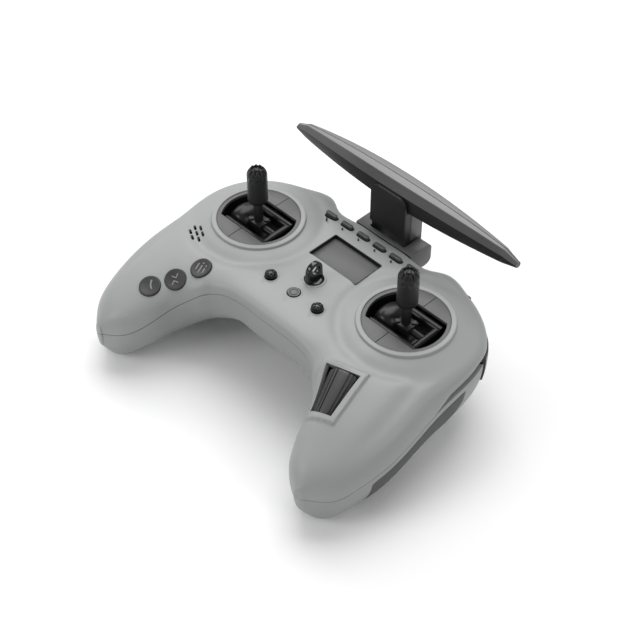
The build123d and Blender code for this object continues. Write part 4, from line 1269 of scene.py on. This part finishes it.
@dataclass
class Keys:
    """The row of keys, the power key and the three round keys."""

    finishes: Finishes
    face: float
    width: float = 6.2
    height: float = 1.95
    thick: float = 3.0
    round_r: float = 4.65
    power_r: float = 2.8
    dish: float = 0.45
    mark: float = 1.3
    turns: tuple[float, float, float] = (12.0, -20.0, 75.0)

    def row(self) -> None:
        """The pill-shaped keys behind the screen."""
        for k in range(1, 7):
            node = f"menu_button_{k}"
            low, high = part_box(node)
            centre = (low + high) / 2 / MM
            place = moved(centre.x, centre.y, high.z / MM - self.thick / 2)
            piece = bevelled(f"menu_key_cap_{k}", [stadium(self.width, self.height)], self.thick, 0.35, place,
                             self.finishes.get(Finishes.KEY))
            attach(piece, f"menu_key_{k}")
            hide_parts(node)

    def disc(self, r: float, dish: float) -> list[Point2]:
        """Profile of a round key with a dished top at height 0."""
        bowl = [(r * 0.86 * t, -dish * (1 - t * t)) for t in np.linspace(0.01, 1, 9)]
        edge = [(r - 0.35 + 0.35 * math.sin(a), -0.35 + 0.35 * math.cos(a)) for a in np.linspace(0, 1.57, 5)]
        return [(0.02, -3.4), (r + 0.6, -3.4), (r + 0.6, -2.7), (r, -2.7), *edge[::-1], *bowl[::-1]]

    def power(self) -> None:
        """The power key with a black ring around a grey cap."""
        low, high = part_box("power_button")
        centre = (low + high) / 2 / MM
        place = moved(centre.x, centre.y, high.z / MM)
        mesh = Mesh()
        mesh.lathe(self.disc(self.power_r, 0.1), 64, place)
        cap = [(0.02, -0.9), (2.0, -0.9), (2.0, 0.02), (1.85, 0.14), (1.5, 0.02), (1.35, 0.08), (0.9, -0.02), (0.02, 0.0)]
        mesh.lathe(cap, 64, place @ Matrix.Translation((0, 0, -0.1)), 1)
        materials = [self.finishes.get(Finishes.GLOSS), self.finishes.get(Finishes.KEY)]
        piece = mesh.object("power_cap", materials, 35)
        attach(piece, "power_key")
        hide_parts("power_button")

    def icon(self, k: int) -> list[list[Point2]]:
        """Generic mark of one round key: level bars, two arrowheads, or a bent arrow."""
        if k == 1:
            bars = []
            for x, low, high in ((-1.5, -1.0, 1.4), (0.0, -1.9, 1.0), (1.5, -1.9, 0.2)):
                bars.append([(x - 0.22, low), (x + 0.22, low), (x + 0.22, high), (x - 0.22, high)])
            return bars + [circle(0.28, 12, x, y) for x, y in ((-1.5, 2.1), (0.0, 1.8), (1.5, 1.1))]
        if k == 2:
            return [self.chevron(-1.0, 0.4, 1), self.chevron(1.0, -0.6, -1)]
        bend = arc(3.4, -1.4, 3.6, 180, 118, 8)
        back = arc(3.4, -1.4, 3.1, 118, 180, 8)
        head = [(bend[-1][0] - 0.9, bend[-1][1] - 0.35), (bend[-1][0] + 0.5, bend[-1][1] + 1.1),
                (back[0][0] + 1.0, back[0][1] - 0.6)]
        return [bend + head + back]

    def chevron(self, x: float, y: float, way: int) -> list[Point2]:
        """Outline of one arrowhead."""
        tip = (x + 0.9 * way, y)
        return [(x - 0.7 * way, y + 1.1), (x - 0.2 * way, y + 1.1), tip, (x - 0.2 * way, y - 1.1),
                (x - 0.7 * way, y - 1.1), (x + 0.4 * way, y)]

    def rounds(self) -> None:
        """The three round keys with their marks."""
        for k in range(1, 4):
            node = f"function_button_{k}"
            out = -Vector(joint(f"function_key_{k}_press")["axis"])
            centre = middle(node)
            place = facing(centre, out) @ Matrix.Translation((0, 0, self.top_above(node, centre, out)))
            mesh = Mesh()
            mesh.lathe(self.disc(self.round_r, self.dish), 80, place)
            piece = mesh.object(f"round_key_{k}", [self.finishes.get(Finishes.ROUND_KEY)], 35)
            turn = Matrix.Rotation(math.radians(self.turns[k - 1]), 4, "Z")
            flat = place @ turn @ Matrix.Translation((0, 0, -self.dish + 0.12))
            loops = [[(self.mark * x, self.mark * y) for x, y in loop] for loop in self.icon(k)]
            marks = [bevelled(f"mark_{k}_{n}", [loop], 0.2, 0.03, flat, self.finishes.get(Finishes.ICON))
                     for n, loop in enumerate(loops)]
            piece = joined(f"round_key_{k}", [piece, *marks])
            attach(piece, f"function_key_{k}")
            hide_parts(node)

    def top_above(self, node: str, centre: Vector, out: Vector) -> float:
        """How far a node's rim stands above a point, along a direction."""
        points = [v.co / MM for v in frame["nodes"][node].data.vertices]
        return max((p - centre).dot(out) for p in points)

    def build(self) -> None:
        """Builds every key."""
        self.row()
        self.power()
        self.rounds()
        log.info("made keys")


@dataclass
class StrapEye:
    """The neck-strap eye in the middle of the face."""

    finishes: Finishes
    width: float = 7.9
    thick: float = 2.4
    hole: float = 2.25
    foot_r: float = 4.15

    def build(self) -> None:
        """Builds the arched plate and its round foot."""
        low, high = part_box("strap_eye")
        low, high = low / MM, high / MM
        centre = (low + high) / 2
        half = self.width / 2
        arch_y = high.z - half
        outline = [(-half - 0.35, low.z + 2.6), (half + 0.35, low.z + 2.6)] + arc(0, arch_y, half, 0, 180, 28)
        loops = [outline, circle(self.hole, 36, 0, arch_y)[::-1]]
        stand = Matrix(((0, 0, 1, centre.x), (1, 0, 0, centre.y), (0, 1, 0, 0), (0, 0, 0, 1)))
        material = self.finishes.get(Finishes.GLOSS)
        plate = bevelled("eye_plate", loops, self.thick, 0.5, stand, material)
        mesh = Mesh()
        foot = [(0.02, low.z), (self.foot_r, low.z), (self.foot_r, low.z + 2.3), (self.foot_r - 0.5, low.z + 2.75),
                (2.0, low.z + 3.1), (0.02, low.z + 3.1)]
        mesh.lathe(foot, 64, moved(centre.x, centre.y, 0))
        piece = joined("strap_loop", [plate, mesh.object("eye_foot", [material], 40)])
        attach(piece, "case")
        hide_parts("strap_eye")
        log.info("made %s", piece.name)


# ---------------------------------------------------------------------------------------------
# Antenna and rear bay
# ---------------------------------------------------------------------------------------------


@dataclass
class Antenna:
    """The T antenna's bar, as a front and a back shell."""

    finishes: Finishes
    face: float
    half: float = 62.8
    low: float = 14.0
    back_y: float = 44.4
    stations: int = 81

    def top(self, x: float) -> float:
        """Height of the bowed top."""
        return self.low + 12.6 - 5.9 * (x / 55.8) ** 2

    def front(self, x: float) -> float:
        """Front of the crescent."""
        return 35.4 + 6.2 * (abs(x) / self.half) ** 1.8

    def section(self, x: float, front: bool) -> tuple[list[Point2], list[int]]:
        """Outline of one shell at x, with each side's material slot.

        Args:
            x: place along the bar.
            front: the front shell, or else the back one.

        Returns:
            The outline's points and the slot of each side.
        """
        end = min(1.0, (self.half - abs(x)) / (self.half - 56.0))
        low = self.low + 0.8 * (1 - end)
        top = low + (self.top(min(abs(x), 56.0)) - low) * (0.42 + 0.58 * end)
        face = self.front(x)
        seam = (face + self.back_y) / 2 + 0.6
        bevel = 0.38 * (top - low)
        c = 0.22
        if front:
            points = [(seam, low), (face + 0.9, low), (face + 0.3, low + 0.5), (face, low + 1.2), (face, top - bevel - c),
                      (face + 0.05, top - bevel), (face + 0.15, top - bevel + c), (face + 1.1, top - c),
                      (face + 1.2 + c, top), (seam - c, top), (seam, top - c)]
            # Slot 1 is the painted-light top and slot 2 the painted-light upper bevel: lighter colours for light
            # falling on these faces of the dark bar.
            marks = [0, 0, 0, 0, 0, 2, 2, 2, 1, 1, 0]
        else:
            seam = seam + 0.12
            points = [(self.back_y - 0.8, low), (seam, low), (seam, top - c), (seam + c, top), (self.back_y - 0.8, top),
                      (self.back_y - 0.25, top - 0.3), (self.back_y, top - 1.0), (self.back_y, low + 1.0),
                      (self.back_y - 0.25, low + 0.3)]
            # Slot 1 is the painted-light top of the back shell.
            marks = [0, 0, 1, 1, 1, 0, 0, 0, 0]
        return points, marks

    def shell(self, front: bool) -> bpy.types.Object:
        """One shell of the bar."""
        t = np.linspace(-1, 1, self.stations)
        xs = self.half * np.sin(t * math.pi / 2) * 0.35 + self.half * t * 0.65
        rows = []
        for x in xs:
            outline, marks = self.section(float(x), front)
            rows.append([(x, y, z + self.face) for y, z in outline])
        mesh = Mesh()
        mesh.loft(np.array(rows), True, True)
        wide = len(rows[0])
        for k in range((len(xs) - 1) * wide):
            mesh.marks[k] = marks[k % wide]
        # The end caps take the painted-light bevel finish, which is lighter for light falling on the bar's ends.
        mesh.marks[-1] = mesh.marks[-2] = 2
        materials = [self.finishes.get(f) for f in (Finishes.ANTENNA, Finishes.ANTENNA_TOP, Finishes.BEVEL)]
        name = "antenna_bar_front" if front else "antenna_bar_back"
        piece = mesh.object(f"{name}_shell", materials, 30)
        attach(piece, "antenna")
        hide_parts(name)
        return piece

    def cheek(self) -> None:
        """A thin lighter plate over the mast's side face: painted light, standing in for light falling on that side of
        the dark mast.
        """
        low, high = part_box("antenna_mast")
        low, high = low / MM, high / MM
        top, foot = self.low + self.face - 1.0, self.face - 2.4
        y0, y1 = high.y - 7.6, high.y - 1.0
        outline = [(y0, foot), (y1, foot), (y1, top - 2.2)] + arc(y1 - 2.2, top - 2.2, 2.2, 0, 90, 8)
        outline += arc(y0 + 2.2, top - 2.2, 2.2, 90, 180, 8)
        stand = Matrix(((0, 0, 1, high.x - 0.02), (1, 0, 0, 0), (0, 1, 0, 0), (0, 0, 0, 1)))
        piece = bevelled("mast_cheek", [outline], 0.3, 0.1, stand, self.finishes.get(Finishes.BEVEL))
        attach(piece, "antenna")
        log.info("made %s", piece.name)

    def build(self) -> None:
        """Builds both shells."""
        self.shell(True)
        self.shell(False)
        self.cheek()
        log.info("made antenna bar")


@dataclass
class RearBay:
    """The cover of the rear bay, with finger ridges and a flat base."""

    finishes: Finishes
    corner: float = 7.0
    edge: float = 1.4
    ridges: int = 6

    def build(self) -> None:
        """Builds the cover."""
        low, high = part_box("module_bay_cover")
        low, high = low / MM, high / MM
        size, centre = high - low, (low + high) / 2
        rows = []
        for a in np.linspace(0, math.pi / 2, 6):
            inset = self.edge * (1 - math.sin(a))
            rows.append((inset, self.edge * (1 - math.cos(a))))
        rows += [(0.0, size.z - 0.5), (0.35, size.z), (2.0, size.z), (2.0, 2.0)]
        skin = np.array([[(x + centre.x, y + centre.y, low.z + z)
                          for x, y in rounded(size.x - 2 * i, size.y - 2 * i, self.corner - i / 2)] for i, z in rows])
        mesh = Mesh()
        mesh.loft(skin, True, True)
        for k in range(self.ridges):
            z = low.z + 4 + 1.6 * k
            for way in (-1, 1):
                bar = moved(centre.x + way * (size.x / 2 - 0.15), centre.y, z)
                mesh.lathe([(0.02, -7), (0.35, -6.9), (0.45, -6.5), (0.45, 6.5), (0.35, 6.9), (0.02, 7)], 16,
                           bar @ Matrix.Rotation(math.pi / 2, 4, "X"))
        piece = mesh.object("bay_cover", [self.finishes.get(Finishes.CASE_BACK)], 40)
        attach(piece, "case")
        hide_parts("module_bay_cover")
        log.info("made %s", piece.name)


# ---------------------------------------------------------------------------------------------
# CAD nodes that stay, and the stage
# ---------------------------------------------------------------------------------------------


@dataclass
class Carried:
    """The CAD nodes that keep their shape: each gets softened edges and a finish."""

    finishes: Finishes
    width: float = 0.18

    def finish_of(self, node: str) -> Finish:
        """The finish of a CAD node that stays in view."""
        exact = {
            "battery_pack": Finishes.BATTERY, "radio_module": Finishes.BOARD, "main_board": Finishes.BOARD,
            "display_module": Finishes.BLACK, "display_window": Finishes.SCREEN, "led_guides": Finishes.GUIDE,
            "speaker": Finishes.BLACK, "roller_wheel": Finishes.BLACK, "roller_bearings": Finishes.BLACK,
            "usb_port": Finishes.STEEL, "case_screws": Finishes.STEEL, "antenna_bracket": Finishes.COVER,
            "hinge_pin": Finishes.STEEL, "antenna_mast": Finishes.ANTENNA, "antenna_element": Finishes.COPPER,
        }
        if node in exact:
            return exact[node]
        starts = {"gimbal_cover": Finishes.COVER, "stick_shaft": Finishes.STICK}
        return next((f for start, f in starts.items() if node.startswith(start)), Finishes.BLACK)

    def build(self) -> None:
        """Dresses every CAD node that is still shown."""
        for node, holder in frame["nodes"].items():
            if holder.hide_render:
                continue
            holder.data.materials.clear()
            holder.data.materials.append(self.finishes.get(self.finish_of(node)))
            weld = holder.modifiers.new("weld", "WELD")
            weld.merge_threshold = 2e-6
            soft = holder.modifiers.new("soft_edges", "BEVEL")
            soft.width = self.width * MM
            soft.segments = 2
            soft.limit_method = "ANGLE"
            soft.angle_limit = math.radians(40)
            soft.use_clamp_overlap = True
            smooth(holder.data, 40)
            log.info("dressed %s", node)


@dataclass
class Stage:
    """Camera, floor and lights."""

    face: float
    target: tuple[float, float] = (18.1, -23.4)
    azimuth: float = 45.48
    elevation: float = 45.62
    distance: float = 560.0
    lens: float = 79.18

    def camera(self) -> None:
        """Sets the camera."""
        a, e = math.radians(self.azimuth), math.radians(self.elevation)
        back = Vector((math.sin(a) * math.cos(e), -math.cos(a) * math.cos(e), math.sin(e)))
        aim = Vector((*self.target, self.face)) * MM
        data = bpy.data.cameras.new("view")
        data.lens = self.lens
        data.sensor_width = 36.0
        data.clip_start = 0.01
        holder = bpy.data.objects.new("view", data)
        holder.location = aim + back * self.distance * MM
        holder.rotation_euler = back.to_track_quat("Z", "Y").to_euler()
        bpy.context.scene.collection.objects.link(holder)
        bpy.context.scene.camera = holder

    def floor(self) -> None:
        """A wide pale floor."""
        mesh = Mesh()
        mesh.add([(-3000, -3000, 0), (3000, -3000, 0), (3000, 3000, 0), (-3000, 3000, 0)], [(0, 1, 2, 3)])
        made = bpy.data.materials.new("pale_floor")
        made.use_nodes = True
        shader = made.node_tree.nodes["Principled BSDF"]
        shader.inputs["Base Color"].default_value = (0.93, 0.93, 0.93, 1)
        shader.inputs["Roughness"].default_value = 0.9
        shader.inputs["Specular IOR Level"].default_value = 0.1
        mesh.object("floor", [made])

    def light(self, name: str, place: Sequence[float], size: float, power: float) -> None:
        """Adds a square soft light that points at the transmitter.

        Args:
            name: its name.
            place: its place in metres.
            size: its side in metres.
            power: its power in watts.
        """
        data = bpy.data.lights.new(name, "AREA")
        data.size = size
        data.energy = power
        holder = bpy.data.objects.new(name, data)
        holder.location = place
        holder.rotation_euler = (Vector(place) - Vector((0, -0.02, 0.03))).to_track_quat("Z", "Y").to_euler()
        bpy.context.scene.collection.objects.link(holder)

    def build(self) -> None:
        """Sets up everything around the transmitter."""
        self.camera()
        self.floor()
        world = bpy.data.worlds.new("studio")
        world.use_nodes = True
        world.node_tree.nodes["Background"].inputs["Color"].default_value = (1, 1, 1, 1)
        world.node_tree.nodes["Background"].inputs["Strength"].default_value = 0.38
        bpy.context.scene.world = world
        self.light("overhead", (-0.25, 0.35, 0.85), 0.8, 7.4)
        self.light("right", (0.85, 0.05, 0.55), 0.4, 1.5)
        self.light("front_left", (-0.35, -0.75, 0.50), 0.4, 2.2)
        self.light("left_back", (-0.8, 0.2, 0.45), 0.5, 1.6)
        view = bpy.context.scene.view_settings
        view.view_transform = "Standard"
        view.look = "None"
        log.info("set the stage")


def main() -> None:
    """Builds the transmitter and its stage in order."""
    logging.basicConfig(level=logging.INFO, format="%(message)s")
    finishes = Finishes(ShaderKit())
    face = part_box("gimbal_cover_right")[1].z / MM - 1.6
    Stage(face).build()
    Case(finishes, BodyForm(), face).build()
    for side in Side:
        Gimbal(finishes, side).build()
        TrimHat(finishes, side).build()
    Roller(finishes).build()
    Keys(finishes, face).build()
    StrapEye(finishes).build()
    Antenna(finishes, face).build()
    RearBay(finishes).build()
    Carried(finishes).build()


if __name__ == "__main__":
    main()
